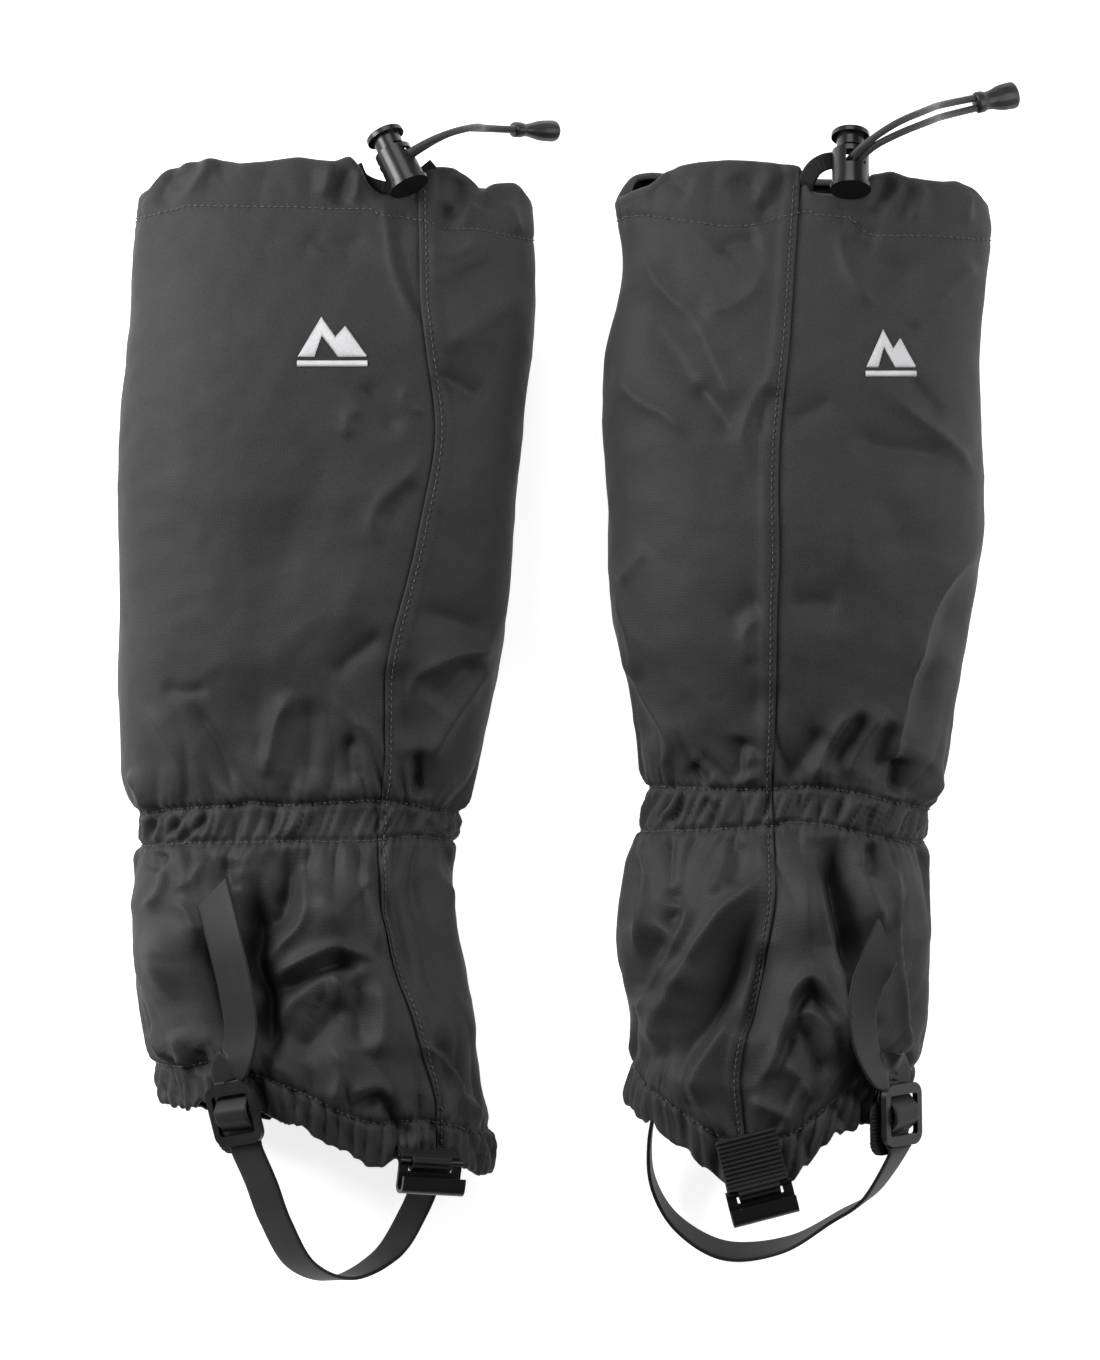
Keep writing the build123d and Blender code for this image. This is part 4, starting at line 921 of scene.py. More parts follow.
    def unevenness(self, top, low, edge):
        """Slight unevenness all over, stronger near the gathers."""
        y, rng = self.base[..., 1], self.rng
        rows, columns = y.shape
        self.h += 0.55 * soft_noise(rng, rows, columns, 42, 42)
        crease = 1 - np.abs(soft_noise(rng, rows, columns, 20, 20)) * 1.4
        near = np.exp(-np.abs(y - (top + low) / 2) / 45) + np.exp(-np.abs(y - edge) / 50)
        self.h += 0.55 * np.clip(crease, -1.2, 1) * (0.35 + 0.65 * np.clip(near, 0, 1))
        self.h += 0.10 * soft_noise(rng, rows, columns, 7, 7)


def ring_blur(values, sigma):
    """Gaussian smoothing of evenly spaced values that close in a ring."""
    reach = int(sigma * 3) + 1
    kernel = np.exp(-0.5 * (np.arange(-reach, reach + 1) / sigma) ** 2)
    kernel /= kernel.sum()
    padded = np.concatenate([values[-reach:], values, values[:reach]])
    return np.convolve(padded, kernel, mode="valid")


def pleats_round(rng, columns, small, big):
    """Ridges with sharp valleys, unevenly spaced round the tube. The spacing is in millimetres."""
    cuts = [0.0]
    while cuts[-1] < columns - small / COLUMN_STEP:
        cuts.append(cuts[-1] + rng.uniform(small, big) / COLUMN_STEP)
    cuts = np.array(cuts) * columns / cuts[-1]
    heights = rng.uniform(0.45, 1.0, (8, len(cuts)))

    def ridges(j, kind):
        j = np.mod(j, columns)
        k = np.clip(np.searchsorted(cuts, j, side="right") - 1, 0, len(cuts) - 2)
        t = (j - cuts[k]) / (cuts[k + 1] - cuts[k])
        return heights[kind][k] * np.sin(math.pi * t) ** 0.75

    ridges.cuts = cuts
    return ridges


def pleat_values(rng, columns, ridges, low, high):
    """A smooth value round the tube that differs from pleat to pleat."""
    cuts = ridges.cuts
    values = rng.uniform(low, high, len(cuts))
    values[-1] = values[0]
    return lambda j: np.interp(np.mod(j, columns), cuts, values)


def fold(x, y, height, width, points):
    """One fold: a soft ridge or hollow along a line, fading at its ends."""
    line = spline_through(points, max(8, 6 * len(points)))
    out = np.zeros_like(x)
    reach = width * 3.2
    near = ((x > line[:, 0].min() - reach) & (x < line[:, 0].max() + reach)
            & (y > line[:, 1].min() - reach) & (y < line[:, 1].max() + reach))
    px, py = x[near], y[near]
    best = np.full(px.shape, 1e9)
    along = np.zeros(px.shape)
    n = len(line) - 1
    for i in range(n):
        a, b = line[i], line[i + 1]
        d = b - a
        length2 = max(float(d @ d), 1e-9)
        t = np.clip(((px - a[0]) * d[0] + (py - a[1]) * d[1]) / length2, 0, 1)
        dist = (px - a[0] - t * d[0]) ** 2 + (py - a[1] - t * d[1]) ** 2
        closer = dist < best
        best = np.where(closer, dist, best)
        along = np.where(closer, (i + t) / n, along)
    distance = np.sqrt(best) / width
    ease = 0.28 if width < 8 else 0.5
    taper = smoothstep(along / ease + 0.1) * smoothstep((1 - along) / ease + 0.1)
    if height > 0:
        shape = np.exp(0.25 - np.sqrt(distance**2 * 2.0 + 0.0625))
    else:
        shape = np.exp(0.45 - np.sqrt(distance**2 * 2.2 + 0.2025))
    out[near] = height * shape * taper
    return out


# ---------------------------------------------------------------- pieces cut from the tube

def skin(name, outer, inner, closed=False, uv=None):
    """A closed sheet between two grids of points."""
    rows, columns, _ = outer.shape
    verts = np.concatenate([outer.reshape(-1, 3), inner.reshape(-1, 3)])
    n = rows * columns
    i, j = np.meshgrid(np.arange(rows - 1), np.arange(columns if closed else columns - 1), indexing="ij")
    i, j = i.ravel(), j.ravel()
    k = (j + 1) % columns
    a, b, c, e = i * columns + j, i * columns + k, (i + 1) * columns + k, (i + 1) * columns + j
    faces = [np.stack([a, e, c, b], axis=1), np.stack([a, b, c, e], axis=1) + n]
    jj = np.arange(columns if closed else columns - 1)
    kk = (jj + 1) % columns
    last = (rows - 1) * columns
    faces.append(np.stack([jj, kk, kk + n, jj + n], axis=1))
    faces.append(np.stack([last + kk, last + jj, last + jj + n, last + kk + n], axis=1))
    if not closed:
        start = np.arange(rows - 1) * columns
        below = start + columns
        end, end_below = start + columns - 1, below + columns - 1
        faces.append(np.stack([below, start, start + n, below + n], axis=1))
        faces.append(np.stack([end, end_below, end_below + n, end + n], axis=1))
    both = None if uv is None else np.concatenate([uv.reshape(-1, 2), uv.reshape(-1, 2)])
    return make_mesh(name, verts, np.concatenate(faces), uv=both)


def rolled(tube, columns, offset, thickness):
    """Outer and inner points of a panel whose rim and hem edges roll inwards."""
    s, n = tube.s[:, columns], tube.normal[:, columns]
    off = offset[None, :, None]
    outer = s + n * off
    inner = outer - n * thickness
    rim_up = unit(ring_smooth(s[0] - s[4], 4))
    rim_n = n[0]
    hem_down = unit(ring_smooth(s[-1] - s[-5], 4))
    hem_n = n[-1]

    def roll(edge, normal, way, radius, turns):
        centre = edge - normal * radius
        top, low = [], []
        for angle in turns:
            direction = normal * math.cos(angle) + way * math.sin(angle)
            top.append(centre + direction * radius)
            low.append(centre + direction * (radius - thickness))
        return np.array(top), np.array(low)

    rim_turns = np.radians([165, 140, 115, 90, 65, 42, 20])
    rim_out, rim_in = roll(outer[0], rim_n, rim_up, RIM_ROLL, rim_turns)
    hem_turns = np.radians([22, 45, 70, 95, 120, 150])
    hem_out, hem_in = roll(outer[-1], hem_n, hem_down, HEM_ROLL, hem_turns)
    outer = np.concatenate([rim_out, outer, hem_out])
    inner = np.concatenate([rim_in, inner, hem_in])
    for grid in (outer, inner):
        grid[..., 2] = np.maximum(grid[..., 2], LOWEST_EDGE)
    low = outer[..., 2] < 1.2
    lifted = np.maximum(inner[..., 2], outer[..., 2] + thickness * 0.8)
    inner[..., 2] = np.where(low, lifted, inner[..., 2])
    return outer, inner


def ring_smooth(values, sigma):
    """Smoothing along the columns, with the ends held."""
    return np.stack([blur(values[:, i], sigma) for i in range(values.shape[1])], axis=1)


def grid_uv(grid):
    """Texture coordinates in metres: across the tube and down it."""
    mid = grid[grid.shape[0] // 2]
    across = np.concatenate([[0], np.cumsum(np.linalg.norm(np.diff(mid, axis=0), axis=1))])
    middle = grid[:, grid.shape[1] // 2]
    down = np.concatenate([[0], np.cumsum(np.linalg.norm(np.diff(middle, axis=0), axis=1))])
    u, v = np.meshgrid(across * MM, down * MM)
    return np.stack([u, v], axis=-1)


def panels(tube, body):
    """The two panels. The inner one laps over the outer one along the front seam."""
    c1, columns = tube.c1, tube.columns
    inner_side = tube.name
    made = {}
    for side, cols in (("left", np.arange(0, c1 + 1)), ("right", np.arange(c1, columns + 1) % columns)):
        distance = np.arange(len(cols), dtype=float) * COLUMN_STEP
        if side == "left":
            distance = distance[::-1]
        back = (len(cols) - 1) * COLUMN_STEP - distance
        if side == inner_side:
            offset = 0.75 * (1 - smoothstep((distance - 5.5) / 2.5))
            offset = offset + 0.25 * np.exp(-((distance - 5.0) / 1.2) ** 2)
            offset = offset - 0.35 * np.exp(-((distance - 1.8) / 0.9) ** 2)
            label = "inner"
        else:
            offset = -0.35 * (1 - smoothstep(distance / 5))
            label = "outer"
            # Three more columns tuck under the inner panel.
            if side == "left":
                order, tucked = slice(None), (c1 + np.arange(1, 4)) % columns
            else:
                order, tucked = slice(None, None, -1), (c1 - np.arange(3, 0, -1)) % columns
            cols = np.concatenate([cols, tucked][order])
            offset = np.concatenate([offset, np.full(3, -0.9)][order])
            back = np.concatenate([back, np.full(3, 99.0)][order])
        offset = offset - 0.15 * np.exp(-((back / 1.5) ** 2))
        outer, inner = rolled(tube, cols, offset, CLOTH_T)
        obj = skin(f"{tube.name}_{label}_panel_cloth", outer, inner, uv=grid_uv(outer))
        paint(obj, "cloth")
        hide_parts(f"{tube.name}_{label}_panel")
        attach(obj, body)
        made[label] = obj
    return made


def band(tube, name, key, rows, depth, thickness, body, node, columns=None):
    """A strip inside the tube, between two rows, at a depth below the surface."""
    cols = np.arange(0, tube.columns, 2) if columns is None else columns
    s = tube.s[rows[0]:rows[1]:2][:, cols]
    n = tube.normal[rows[0]:rows[1]:2][:, cols]
    outer = s - n * depth
    inner = s - n * (depth + thickness)
    floor = s[..., 2] < 3.0
    for grid, lift in ((outer, depth), (inner, depth + thickness)):
        grid[..., 2] = np.where(floor, np.maximum(grid[..., 2], s[..., 2] + lift * 0.9), grid[..., 2])
    obj = skin(name, outer, inner, closed=columns is None, uv=grid_uv(outer))
    fix_normals(obj)
    paint(obj, key)
    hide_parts(node)
    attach(obj, body)


# ---------------------------------------------------------------- stitches

def thread_run(points, normals, pitch, length, radius, tilt=0.0):
    """Short raised stitches along a line: vertices and faces."""
    run = np.concatenate([[0], np.cumsum(np.linalg.norm(np.diff(points, axis=0), axis=1))])
    starts = np.arange(pitch / 2, run[-1], pitch)
    sides, rings = 6, 5
    angles = np.arange(sides) * 2 * math.pi / sides
    verts, faces = [], []
    for at in starts:
        span = np.linspace(at - length / 2, at + length / 2, rings)
        p = np.stack([np.interp(span, run, points[:, i]) for i in range(3)], axis=1)
        n = unit(np.array([np.interp(at, run, normals[:, i]) for i in range(3)]))
        t = unit(p[-1] - p[0])
        b = np.cross(t, n)
        rise = np.array([-0.35, 0.35, 0.6, 0.35, -0.35]) * radius * 2
        thick = np.array([0.55, 0.95, 1.0, 0.95, 0.55]) * radius
        shift = np.linspace(-tilt, tilt, rings)
        base = len(verts)
        for k in range(rings):
            centre = p[k] + n * rise[k] + b * shift[k]
            for a in angles:
                verts.append(centre + (n * math.cos(a) + b * math.sin(a)) * thick[k])
        faces.extend(tube_faces(base, rings, sides))
    return verts, faces


def stitches(tube, body):
    """Every visible row of stitching on one gaiter, as one piece."""
    s, n = tube.s, tube.normal
    a = tube.anchors
    all_verts, all_faces = [], []

    def add(points, normals, **kwargs):
        verts, faces = thread_run(points, normals, **kwargs)
        base = sum(len(v) for v in all_verts)
        all_verts.append(verts)
        all_faces.extend([tuple(i + base for i in f) for f in faces])

    way = 1 if tube.name == "right" else -1
    column = (tube.c1 + way * 2) % tube.columns
    add(s[4:-4, column] + n[4:-4, column] * 0.78, n[4:-4, column], pitch=2.9, length=2.1, radius=0.26)
    for row, pitch in ((a[1], 2.8), (a[2], 2.6), (a[3], 2.6), (a[4], 2.6)):
        line = np.vstack([s[row], s[row][:1]])
        normal = np.vstack([n[row], n[row][:1]])
        seam = np.abs((np.arange(len(line)) - tube.c1) * way)
        lift = 0.12 + 0.8 * (((np.arange(len(line)) - tube.c1) * way >= 0) & (seam < 6))
        add(line + normal * lift[:, None], normal, pitch=pitch, length=pitch * 0.74, radius=0.25, tilt=0.12)
    verts = np.concatenate([np.array(v) for v in all_verts])
    verts[:, 2] = np.maximum(verts[:, 2], 0.05)
    obj = make_mesh(f"{tube.name}_stitching", verts, all_faces)
    paint(obj, "stitch")
    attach(obj, body)


# ---------------------------------------------------------------- the embroidered motif

MOTIF = {
    "right": dict(centre=(-89.4, 146.0), size=(28, 20)),
    "left": dict(centre=(134.0, 141.5), size=(20, 19)),
}
PEAKS = ((-0.5, -0.3), (-0.16, 0.5), (0.04, 0.1), (0.18, 0.32), (0.5, -0.3))
VALLEY = ((-0.26, -0.3), (-0.15, 0.12), (0.08, -0.3))
BASE_LINE = ((-0.5, -0.49), (-0.5, -0.37), (0.5, -0.37), (0.5, -0.49))


def crossings(shape, line_at):
    """Where a vertical line cuts a closed outline."""
    ys = []
    for (x0, y0), (x1, y1) in zip(shape, shape[1:] + shape[:1]):
        if (x0 <= line_at < x1) or (x1 <= line_at < x0):
            ys.append(y0 + (y1 - y0) * (line_at - x0) / (x1 - x0))
    return sorted(ys)


def emblem(name, panel, body):
    """Satin stitch: close strands side by side, following the cloth."""
    cx, cy = MOTIF[name]["centre"]
    width, height = MOTIF[name]["size"]
    bm = bmesh.new()
    bm.from_mesh(panel.data)
    tree = BVHTree.FromBMesh(bm)
    bm.free()
    verts, faces = [], []
    pitch, radius = 0.42, 0.27

    def strand(x, low, high):
        count = max(4, int((high - low) / 0.8) + 2)
        ring = []
        for k, y in enumerate(np.linspace(low, high, count)):
            above = Vector(((cx + x) * MM, (cy + y) * MM, 0.2))
            hit, normal, _, _ = tree.ray_cast(above, Vector((0, 0, -1)))
            if hit is None:
                return
            if normal.z < 0:
                normal = -normal
            ring.append((np.array(hit) / MM, np.array(normal), k / (count - 1)))
        base = len(verts)
        for k, (p, n, t) in enumerate(ring):
            ahead = ring[min(k + 1, count - 1)][0] - ring[max(k - 1, 0)][0]
            b = unit(np.cross(unit(ahead), n))
            puff = 0.30 + 0.30 * math.sin(math.pi * t) ** 0.5
            thick = radius * (0.7 + 0.3 * math.sin(math.pi * t))
            for m in range(6):
                angle = m * math.pi / 3
                verts.append(p + n * (puff + thick * 0.8 * math.cos(angle)) + b * thick * math.sin(angle))
        faces.extend(tube_faces(base, count, 6))

    for x in np.arange(-width / 2, width / 2, pitch):
        top = crossings(PEAKS, x / width)
        hole = crossings(VALLEY, x / width)
        line = crossings(BASE_LINE, x / width)
        spans = []
        if len(top) == 2:
            spans.append((top[0], top[1]) if len(hole) < 2 else (hole[1], top[1]))
        if len(line) == 2:
            spans.append(tuple(line))
        for low, high in spans:
            if (high - low) * height > 0.5:
                strand(x, low * height, high * height)
    obj = make_mesh(f"{name}_emblem_thread", verts, faces)
    paint(obj, "emblem_thread")
    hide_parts(f"{name}_emblem")
    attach(obj, body)


# ---------------------------------------------------------------- straps, ribbons and tape

def tape(name, points, across, width, thickness, count=60, ribs=0.0, rib_pitch=1.6, slant=0.0, waist=None,
         round_ends=0.0):
    """A flat band with rounded edges along a line. Its width turns evenly through the directions given.
    slant cuts the far end at an angle, waist narrows a stretch, and round_ends rounds the corners."""
    line = spline_through(points, count)
    if len(across) > 2:
        turn = spline_through(across, count)
    else:
        first, last = (np.asarray(across[i], float) for i in (0, -1))
        turn = first + (last - first) * np.linspace(0, 1, count)[:, None]
    along = unit(np.gradient(line, axis=0))
    side = unit(turn - along * (turn * along).sum(axis=1, keepdims=True))
    face = np.cross(side, along)
    run = np.concatenate([[0], np.cumsum(np.linalg.norm(np.diff(line, axis=0), axis=1))])
    half, thin = width / 2, thickness / 2
    profile = [(x, thin) for x in np.linspace(-half + thin, half - thin, 11)]
    turns = np.radians((60, 30, 0, -30, -60))
    profile += [(half - thin + thin * math.cos(t), thin * math.sin(t)) for t in turns]
    profile += [(x, -thin) for x in np.linspace(half - thin, -half + thin, 11)]
    profile += [(-half + thin - thin * math.cos(t), -thin * math.sin(t)) for t in turns]
    profile = np.array(profile)
    rings = []
    for k in range(count):
        p = profile.copy()
        share = run[k] / run[-1]
        if waist and waist[0] < share < waist[1]:
            p[:, 0] *= waist[2]
        if round_ends:
            left = min(run[k], run[-1] - run[k])
            if left < round_ends:
                p[:, 0] *= (half - round_ends + math.sqrt(round_ends**2 - (round_ends - left) ** 2)) / half
        if ribs:
            wave = ribs * (0.5 - 0.5 * math.cos(2 * math.pi * run[k] / rib_pitch))
            inside = np.abs(p[:, 0]) < half - thin * 0.5
            p[:, 1] += np.where(inside, np.sign(p[:, 1]) * wave, 0)
        shift = slant * smoothstep((share - 0.75) / 0.25) * p[:, :1] / half / 2
        rings.append(line[k] + side[k] * p[:, :1] + face[k] * p[:, 1:2] + along[k] * shift)
    m = len(profile)
    u = np.concatenate([[0], np.cumsum(np.linalg.norm(np.diff(profile, axis=0), axis=1))])
    uv = np.stack([np.tile(u, count), np.repeat(run, m)], axis=1) * MM
    return loft_rings(name, rings, uv=uv)


# ---------------------------------------------------------------- hardware and webbing, in millimetres

CORD_D = 3.0
CORDS = {
    "right_cord_tail_a": ((-67.98, 213.88, 43.73), (-54.79, 223.08, 49.26), (-44.4, 229.1, 48.4),
                          (-35.7, 231.6, 37.0), (-33.0, 231.6, 20.3), (-18.5, 231.0, 13.7)),
    "right_cord_tail_b": ((-69.68, 214.54, 46.72), (-56.5, 223.74, 52.24), (-42.6, 229.9, 52.8),
                          (-31.3, 232.4, 39.2), (-29.0, 231.4, 22.8), (-16.5, 231.0, 17.3)),
    "left_cord_tail_a": ((117.0, 214.12, 40.18), (123.7, 222.6, 56.1), (137.1, 229.6, 59.0),
                         (150.5, 234.7, 48.0), (154.0, 236.2, 25.0), (167.9, 239.5, 15.5)),
    "left_cord_tail_b": ((113.72, 214.7, 41.25), (119.65, 222.2, 55.3), (134.9, 233.4, 61.0),
                         (149.5, 239.3, 48.0), (153.0, 240.8, 25.0), (167.1, 243.5, 15.5)),
}

HARDWARE = {
    "right": dict(
        lock=axes_frame((-63.4, 218.0, 47.5), (0.78, 0.53, 0.33), (-0.40, 0.82, -0.41)),
        end_axis=(0.874, -0.032, -0.485),
        tether=((-80.5, 216, 35), (-77.5, 210.5, 37.5), (-70, 207.2, 39), (-60, 206.8, 39.5),
                (-52, 208.5, 39), (-50.2, 213, 38.5), (-53, 216.8, 38)),
        tether_across=((0.85, 0.35, 0.4), (0.2, 0.95, 0.2), (-0.1, 0.98, 0.15), (-0.8, 0.5, 0.2),
                       (-0.7, -0.7, 0.1)),
        buckle=axes_frame((-128.5, -163.0, 67.5), (0.80, 0.13, 0.58), (-0.5467, -0.229, 0.8054)),
        strap=((-45, -164, 16), (-50, -184, 12), (-57, -202, 9.5), (-68, -219, 9.5), (-86, -228.5, 16),
               (-102, -223, 30), (-112, -206, 45), (-118, -190, 56)),
        strap_across=((0.66, 0.05, 0.75), (0.72, 0, 0.70), (0.80, 0.13, 0.58)),
        tail=((-128, -141, 70.5), (-126, -129, 71.5), (-128.3, -112, 71), (-132.5, -94, 68.5),
              (-137.5, -74, 62.5)),
        tail_across=((0.80, 0.13, 0.58), (0.86, 0.22, 0.46)),
        tail_slant=7.0,
        tab_inside=True,
        hook=axes_frame((-50.2, -182.0, 58.0), (0.92, -0.05, -0.39), (-0.375, 0.1854, -0.9083)),
    ),
    "left": dict(
        lock=axes_frame((117.8, 217.5, 46.5), (0.35, 0.44, 0.83), (0, 0.88, -0.47)),
        end_axis=(0.815, 0.175, -0.553),
        tether=((99.3, 205.5, 42), (100.4, 210.5, 44), (103.5, 215.6, 45), (108.5, 218.3, 45),
                (114.5, 218.4, 43)),
        tether_across=((0.97, -0.2, 0.15), (0.85, -0.5, 0.15), (0.45, -0.88, 0.1), (0.05, -0.99, 0.1)),
        buckle=axes_frame((138.3, -163.0, 53.0), (0.62, 0.10, -0.78), (0.7851, -0.0601, 0.6164)),
        strap=((41.5, -152, 26), (37.5, -173, 21), (39, -191, 15), (49, -207, 10.5), (68, -217.5, 9),
               (92, -215, 13), (112, -204, 25), (125.5, -195.5, 36.5)),
        strap_across=((0.05, 0.1, -0.99), (0.05, 0.5, -0.86), (0.62, 0.10, -0.78)),
        tail=((128.5, -145, 66), (124.2, -136, 69.5), (122.6, -124, 71), (124.3, -112, 70.5),
              (128.5, -102, 68.5), (132.5, -93.5, 66)),
        tail_across=((0.50, 0.12, -0.86), (0.86, -0.25, -0.42)),
        tail_slant=-13.0,
        tab_inside=False,
        hook=axes_frame((81.0, -192.5, 66.6), (0.96, 0.25, -0.07), (-0.1057, 0.1298, -0.9859)),
    ),
}

STRAP_W = 16.0
SPRING_D = 8.0
SPRING_WIRE = 0.9
SPRING_TURNS = 4
SPRING_Z = (-10.4, -5.5)
STRAP_T = 1.5
WEAVE = ((-16.0, -2.5), (-12.0, -2.5), (-7.6, -2.4), (-4.8, 0.1), (-2.2, 2.4), (0.0, 2.6), (2.2, 2.4),
         (4.8, 0.1), (7.6, -2.4), (10.5, -2.5), (13.5, -2.5))


def route_curve(name, points_mm, diameter_mm):
    """A cord on one smooth open spline."""
    curve = bpy.data.curves.new(name, "CURVE")
    curve.dimensions = "3D"
    curve.resolution_u = 16
    spline = curve.splines.new("NURBS")
    spline.points.add(len(points_mm) - 1)
    for point, co in zip(spline.points, points_mm):
        point.co = (*[c * MM for c in co], 1)
    spline.order_u = 3
    spline.use_endpoint_u = True
    curve.bevel_depth = diameter_mm / 2 * MM
    curve.bevel_resolution = 5
    curve.use_fill_caps = True
    return link(name, curve)


def cords(side, end_piece):
    """The drawcord's two free ends, from the lock to the moulded end piece."""
    for letter in "ab":
        node = f"{side}_cord_tail_{letter}"
        points = CORDS[node]
        obj = route_curve(f"{node}_braid", points, CORD_D)
        paint(obj, "cord")
        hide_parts(node)
        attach(obj, f"{side}_gaiter")


END_LENGTH = 19.0


def cord_end(side):
    """The moulded end: a collar, a waist and a fluted bell."""
    d = HARDWARE[side]
    first, second = (np.array(CORDS[f"{side}_cord_tail_{c}"][-1]) for c in "ab")
    axis = unit(d["end_axis"])
    place = axes_frame((first + second) / 2 + axis * 0.4, second - first, axis)
    # Each ring: its share of the length, its width and its thickness.
    shape = ((0.0, 7.4, 5.0), (0.02, 8.4, 6.0), (0.05, 8.7, 6.3), (0.16, 8.7, 6.3), (0.20, 8.3, 5.9),
             (0.24, 7.6, 5.4), (0.30, 7.5, 5.3), (0.38, 7.8, 5.6), (0.48, 8.8, 6.6), (0.60, 10.2, 7.9),
             (0.70, 10.8, 8.5), (0.80, 11.0, 8.7), (0.94, 11.0, 8.7), (0.98, 10.6, 8.3), (1.0, 9.8, 7.6))
    rings = []
    angles = np.arange(48) * 2 * math.pi / 48
    for share, w, t in shape:
        flute = 1 - 0.035 * (0.5 + 0.5 * np.cos(angles * 12)) * (0.3 < share < 0.92)
        height = np.full(48, share * END_LENGTH)
        ring = np.stack([w / 2 * np.cos(angles) * flute, t / 2 * np.sin(angles) * flute, height], axis=1)
        rings.append(in_frame(place, ring))
    for inset, depth in ((0.72, 18.9), (0.66, 17.6), (0.30, 17.3)):
        across, thick = 4.9 * inset * np.cos(angles), 3.8 * inset * np.sin(angles)
        ring = np.stack([across, thick, np.full(48, depth)], axis=1)
        rings.append(in_frame(place, ring))
    obj = loft_rings(f"{side}_cord_end_moulding", rings)
    paint(obj, "end_plastic")
    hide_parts(f"{side}_cord_end")
    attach(obj, f"{side}_gaiter")
    return obj


def foot_strap(side):
    """The strap under the boot, threaded through the buckle."""
    d = HARDWARE[side]
    weave = [in_frame(d["buckle"], np.array([0.0, y, z])) for y, z in WEAVE]
    points = [np.array(p, float) for p in d["strap"]] + weave
    x = d["buckle"][1]
    n_loop = len(d["strap"])
    across = [np.array(a, float) for a in d["strap_across"]]
    turn = []
    for i in range(n_loop):
        place = i / (n_loop - 1) * (len(across) - 1)
        low = min(int(place), len(across) - 2)
        turn.append(across[low] * (1 - place + low) + across[low + 1] * (place - low))
    turn += [x] * (len(points) - n_loop)
    line = spline_through(points, 240)
    # The direction across the strap follows the same stations as its line.
    station = np.concatenate([[0], np.cumsum(np.linalg.norm(np.diff(np.array(points), axis=0), axis=1))])
    run = np.concatenate([[0], np.cumsum(np.linalg.norm(np.diff(line, axis=0), axis=1))])
    station = station * run[-1] / station[-1]
    turn = np.array(turn)
    turn_line = np.stack([np.interp(run, station, turn[:, i]) for i in range(3)], axis=1)
    obj = tape(f"{side}_foot_strap_band", line, turn_line, STRAP_W, STRAP_T, count=240)
    paint(obj, "strap")
    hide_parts(f"{side}_foot_strap")
    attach(obj, f"{side}_strap")


def strap_tail(side):
    """The strap's loose end, from behind the buckle's top bar to its cut tip, and where it starts to move."""
    d = HARDWARE[side]
    start = [in_frame(d["buckle"], np.array([0.0, y, -2.5])) for y in (13.2, 17.5)]
    points = start + [np.array(p, float) for p in d["tail"]]
    across = [d["buckle"][1], np.array(d["tail_across"][0]), np.array(d["tail_across"][1])]
    obj = tape(f"{side}_strap_tail_band", points, across, STRAP_W, STRAP_T, count=90, slant=d["tail_slant"])
    paint(obj, "strap")
    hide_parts(f"{side}_strap_tail")
    return obj, points[0] * MM, points[3] * MM


def keep(node, key, bevel_mm, segments):
    """A CAD piece whose shape is right: a better finish and rounded edges."""
    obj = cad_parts[node]
    for slot in obj.material_slots:
        slot.link = "OBJECT"
        slot.material = MATERIALS[key]
    if not obj.material_slots:
        obj.data.materials.append(MATERIALS[key])
    bevel(obj, bevel_mm, segments)


def lock_ribbon(side):
    """The ribbon that ties the lock to the rim."""
    d = HARDWARE[side]
    obj = tape(f"{side}_cord_lock_tape", d["tether"], d["tether_across"], 7.0, 1.0,
               count=40, ribs=0.12, rib_pitch=0.9)
    paint(obj, "webbing")
    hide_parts(f"{side}_cord_lock_ribbon")
    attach(obj, f"{side}_gaiter")


def lock_spring(side):
    """The coil spring under the plunger."""
    lock = HARDWARE[side]["lock"]
    wire = SPRING_WIRE / 2
    turns = np.linspace(0, 2 * math.pi * SPRING_TURNS, 24 * SPRING_TURNS + 1)
    rise = np.linspace(SPRING_Z[0] + wire, SPRING_Z[1] - wire - 0.1, len(turns))
    round_wire = np.radians(np.arange(0, 360, 45))
    rings = []
    for angle, z in zip(turns, rise):
        out = np.array([math.cos(angle), math.sin(angle), 0.0])
        reach = [SPRING_D / 2 + wire * math.cos(t) for t in round_wire]
        lift = [np.array([0, 0, z + wire * math.sin(t)]) for t in round_wire]
        rings.append([in_frame(lock, out * r + up) for r, up in zip(reach, lift)])
    obj = loft_rings(f"{side}_cord_lock_coil", np.array(rings))
    paint(obj, "spring_steel")
    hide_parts(f"{side}_cord_lock_spring")
    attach(obj, f"{side}_lock")
    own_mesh(obj)


def hook_tab(side):
    """Ribbed webbing: it folds round the hook's bar and is sewn to the cloth, on its face or inside it."""
    place = HARDWARE[side]["hook"]
    if HARDWARE[side]["tab_inside"]:
        line = ((-19, 12.5), (-12, 12.0), (-6, 8.5), (-3.2, 3.6), (-2.4, 1.2), (-1.2, -1.9), (0.6, -2.4),
                (2.4, -1.6), (3.2, 0.0), (2.4, 1.7), (0.4, 2.7), (-1.8, 4.6), (-5, 9.8), (-11, 13.6),
                (-19, 14.0))
    else:
        line = ((-22.5, -1.0), (-14, -1.0), (-7, -1.1), (-4.2, -1.5), (-1.6, -2.3), (0.4, -2.6),
                (2.4, -1.8), (3.3, 0.0), (2.5, 1.6), (0.2, 2.5), (-2.6, 1.9), (-5, 1.2), (-9, 1.1),
                (-21, 1.1))
    points = [in_frame(place, np.array((0, y, z), float)) for y, z in line]
    obj = tape(f"{side}_lace_hook_webbing", points, [place[1], place[1]], 25.0, 1.3,
               count=230, ribs=0.42, rib_pitch=1.85, waist=(0.40, 0.62, 0.68))
    paint(obj, "webbing")
    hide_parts(f"{side}_lace_hook_tab")
    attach(obj, f"{side}_gaiter")


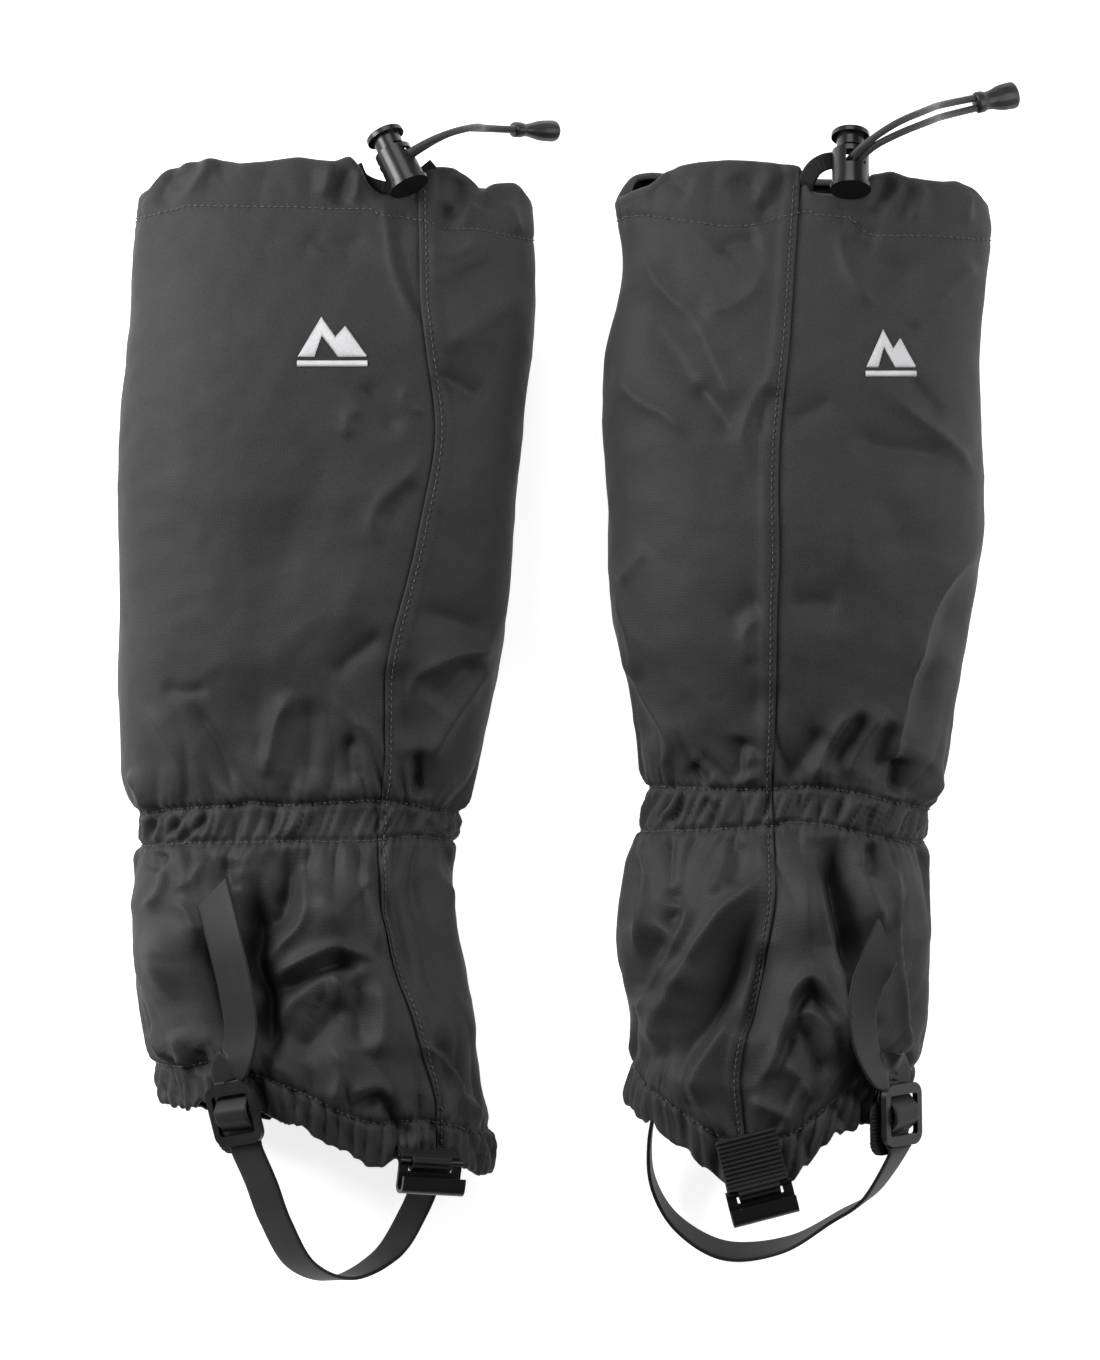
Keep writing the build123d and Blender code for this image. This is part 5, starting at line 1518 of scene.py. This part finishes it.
def patches(side):
    """The folded patch behind the buckle, and the patch over the strap's sewn end."""
    d = HARDWARE[side]
    buckle = d["buckle"]
    behind = [in_frame(buckle, np.array((-4.0, y, -4.55))) for y in (-16.0, -5.0, 6.0)]
    back = tape(f"{side}_buckle_backing_tape", behind, [buckle[1], buckle[1]], 21.0, 1.4,
                count=90, ribs=0.3, rib_pitch=1.5, round_ends=6.0)
    paint(back, "webbing")
    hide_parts(f"{side}_buckle_backing")
    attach(back, f"{side}_strap")
    start = np.array(d["strap"][0], float)
    way = unit(np.array(d["strap"][1], float) - start)
    across = np.array(d["strap_across"][0], float)
    anchor = tape(f"{side}_strap_anchor_tape", [start - way * 9.8, start - way * 5, start - way * 0.2],
                  [across, across], STRAP_W + 3, STRAP_T + 1.8, count=40, ribs=0.15, rib_pitch=1.6)
    paint(anchor, "webbing")
    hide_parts(f"{side}_strap_anchor")
    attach(anchor, f"{side}_strap")


# ---------------------------------------------------------------- build the pair

LOCK_GAP = 11


def cloth_pieces(tube, body):
    """The panels, and the bands sewn inside them."""
    side, a = tube.name, tube.anchors
    cloth = panels(tube, body)
    # The channel and its cord stop on each side of the lock.
    ring = np.roll(np.arange(tube.columns), -(tube.c1 + LOCK_GAP))[: tube.columns - 2 * LOCK_GAP][::2]
    for piece, key, rows, depth, thickness, node, columns in (
        ("rim_channel_cloth", "facing", (3, a[1] + 1), 1.6, 1.0, "rim_channel", ring),
        ("drawcord_run", "cord", (7, 11), 3.4, 2.6, "drawcord", ring),
        ("ankle_elastic_band", "elastic", (a[2] + 3, a[3] - 2), 1.5, 0.8, "ankle_elastic", None),
        ("ankle_casing_cloth", "facing", (a[2], a[3] + 1), 2.7, 0.6, "ankle_casing", None),
        ("hem_elastic_band", "elastic", (a[4] + 3, a[5] - 1), 1.5, 0.8, "hem_elastic", None),
        ("hem_casing_cloth", "facing", (a[4], a[5]), 2.7, 0.6, "hem_casing", None),
    ):
        band(tube, f"{side}_{piece}", key, rows, depth, thickness, body, f"{side}_{node}", columns)
    stitches(tube, body)
    return cloth


def build_gaiter(side, seed):
    """One gaiter with all its pieces."""
    body = f"{side}_gaiter"
    tube = Tube(side, seed)
    cords(side, cord_end(side))
    cloth = cloth_pieces(tube, body)
    emblem(side, cloth["outer"], body)
    foot_strap(side)
    tail, root, tip = strap_tail(side)
    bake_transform(tail)
    lock_ribbon(side)
    hook_tab(side)
    patches(side)
    keep(f"{side}_cord_lock_body", "hard_plastic", 0.35, 3)
    keep(f"{side}_cord_lock_plunger", "hard_plastic", 0.3, 2)
    lock_spring(side)
    keep(f"{side}_buckle", "satin_plastic", 0.6, 3)
    keep(f"{side}_lace_hook", "hook_metal", 0.25, 2)


build_gaiter("right", 11)
build_gaiter("left", 23)

# ---------------------------------------------------------------- floor, light and world

floor = make_mesh("floor", [(-900, -900, 0), (900, -900, 0), (900, 900, 0), (-900, 900, 0)], [(0, 1, 2, 3)])
floor_material = bpy.data.materials.new("floor")
floor_material.use_nodes = True
floor_shader = floor_material.node_tree.nodes["Principled BSDF"]
floor_shader.inputs["Base Color"].default_value = (0.9, 0.9, 0.9, 1)
floor_shader.inputs["Roughness"].default_value = 0.9
floor_shader.inputs["Emission Color"].default_value = (1, 1, 1, 1)
floor_shader.inputs["Emission Strength"].default_value = 0.76
floor.data.materials.append(floor_material)


def area_light(name, place, size, power):
    """A soft rectangular light aimed at the middle of the pair."""
    light = bpy.data.lights.new(name, "AREA")
    light.shape = "RECTANGLE"
    light.size, light.size_y = size
    light.energy = power
    obj = link(name, light)
    obj.location = place
    obj.rotation_euler = (-Vector(place)).to_track_quat("-Z", "Y").to_euler()


area_light("key_left", (-1.0, 0.45, 0.62), (0.5, 0.9), 21)
area_light("key_right", (1.05, 0.25, 0.62), (0.5, 0.9), 9.5)
area_light("top_end", (0.0, 1.15, 0.8), (0.9, 0.5), 6)

world = bpy.data.worlds.new("studio")
world.use_nodes = True
world.node_tree.nodes["Background"].inputs["Color"].default_value = (1, 1, 1, 1)
world.node_tree.nodes["Background"].inputs["Strength"].default_value = 0.20
bpy.context.scene.world = world
bpy.context.scene.view_settings.view_transform = "Standard"
bpy.context.scene.view_settings.look = "None"
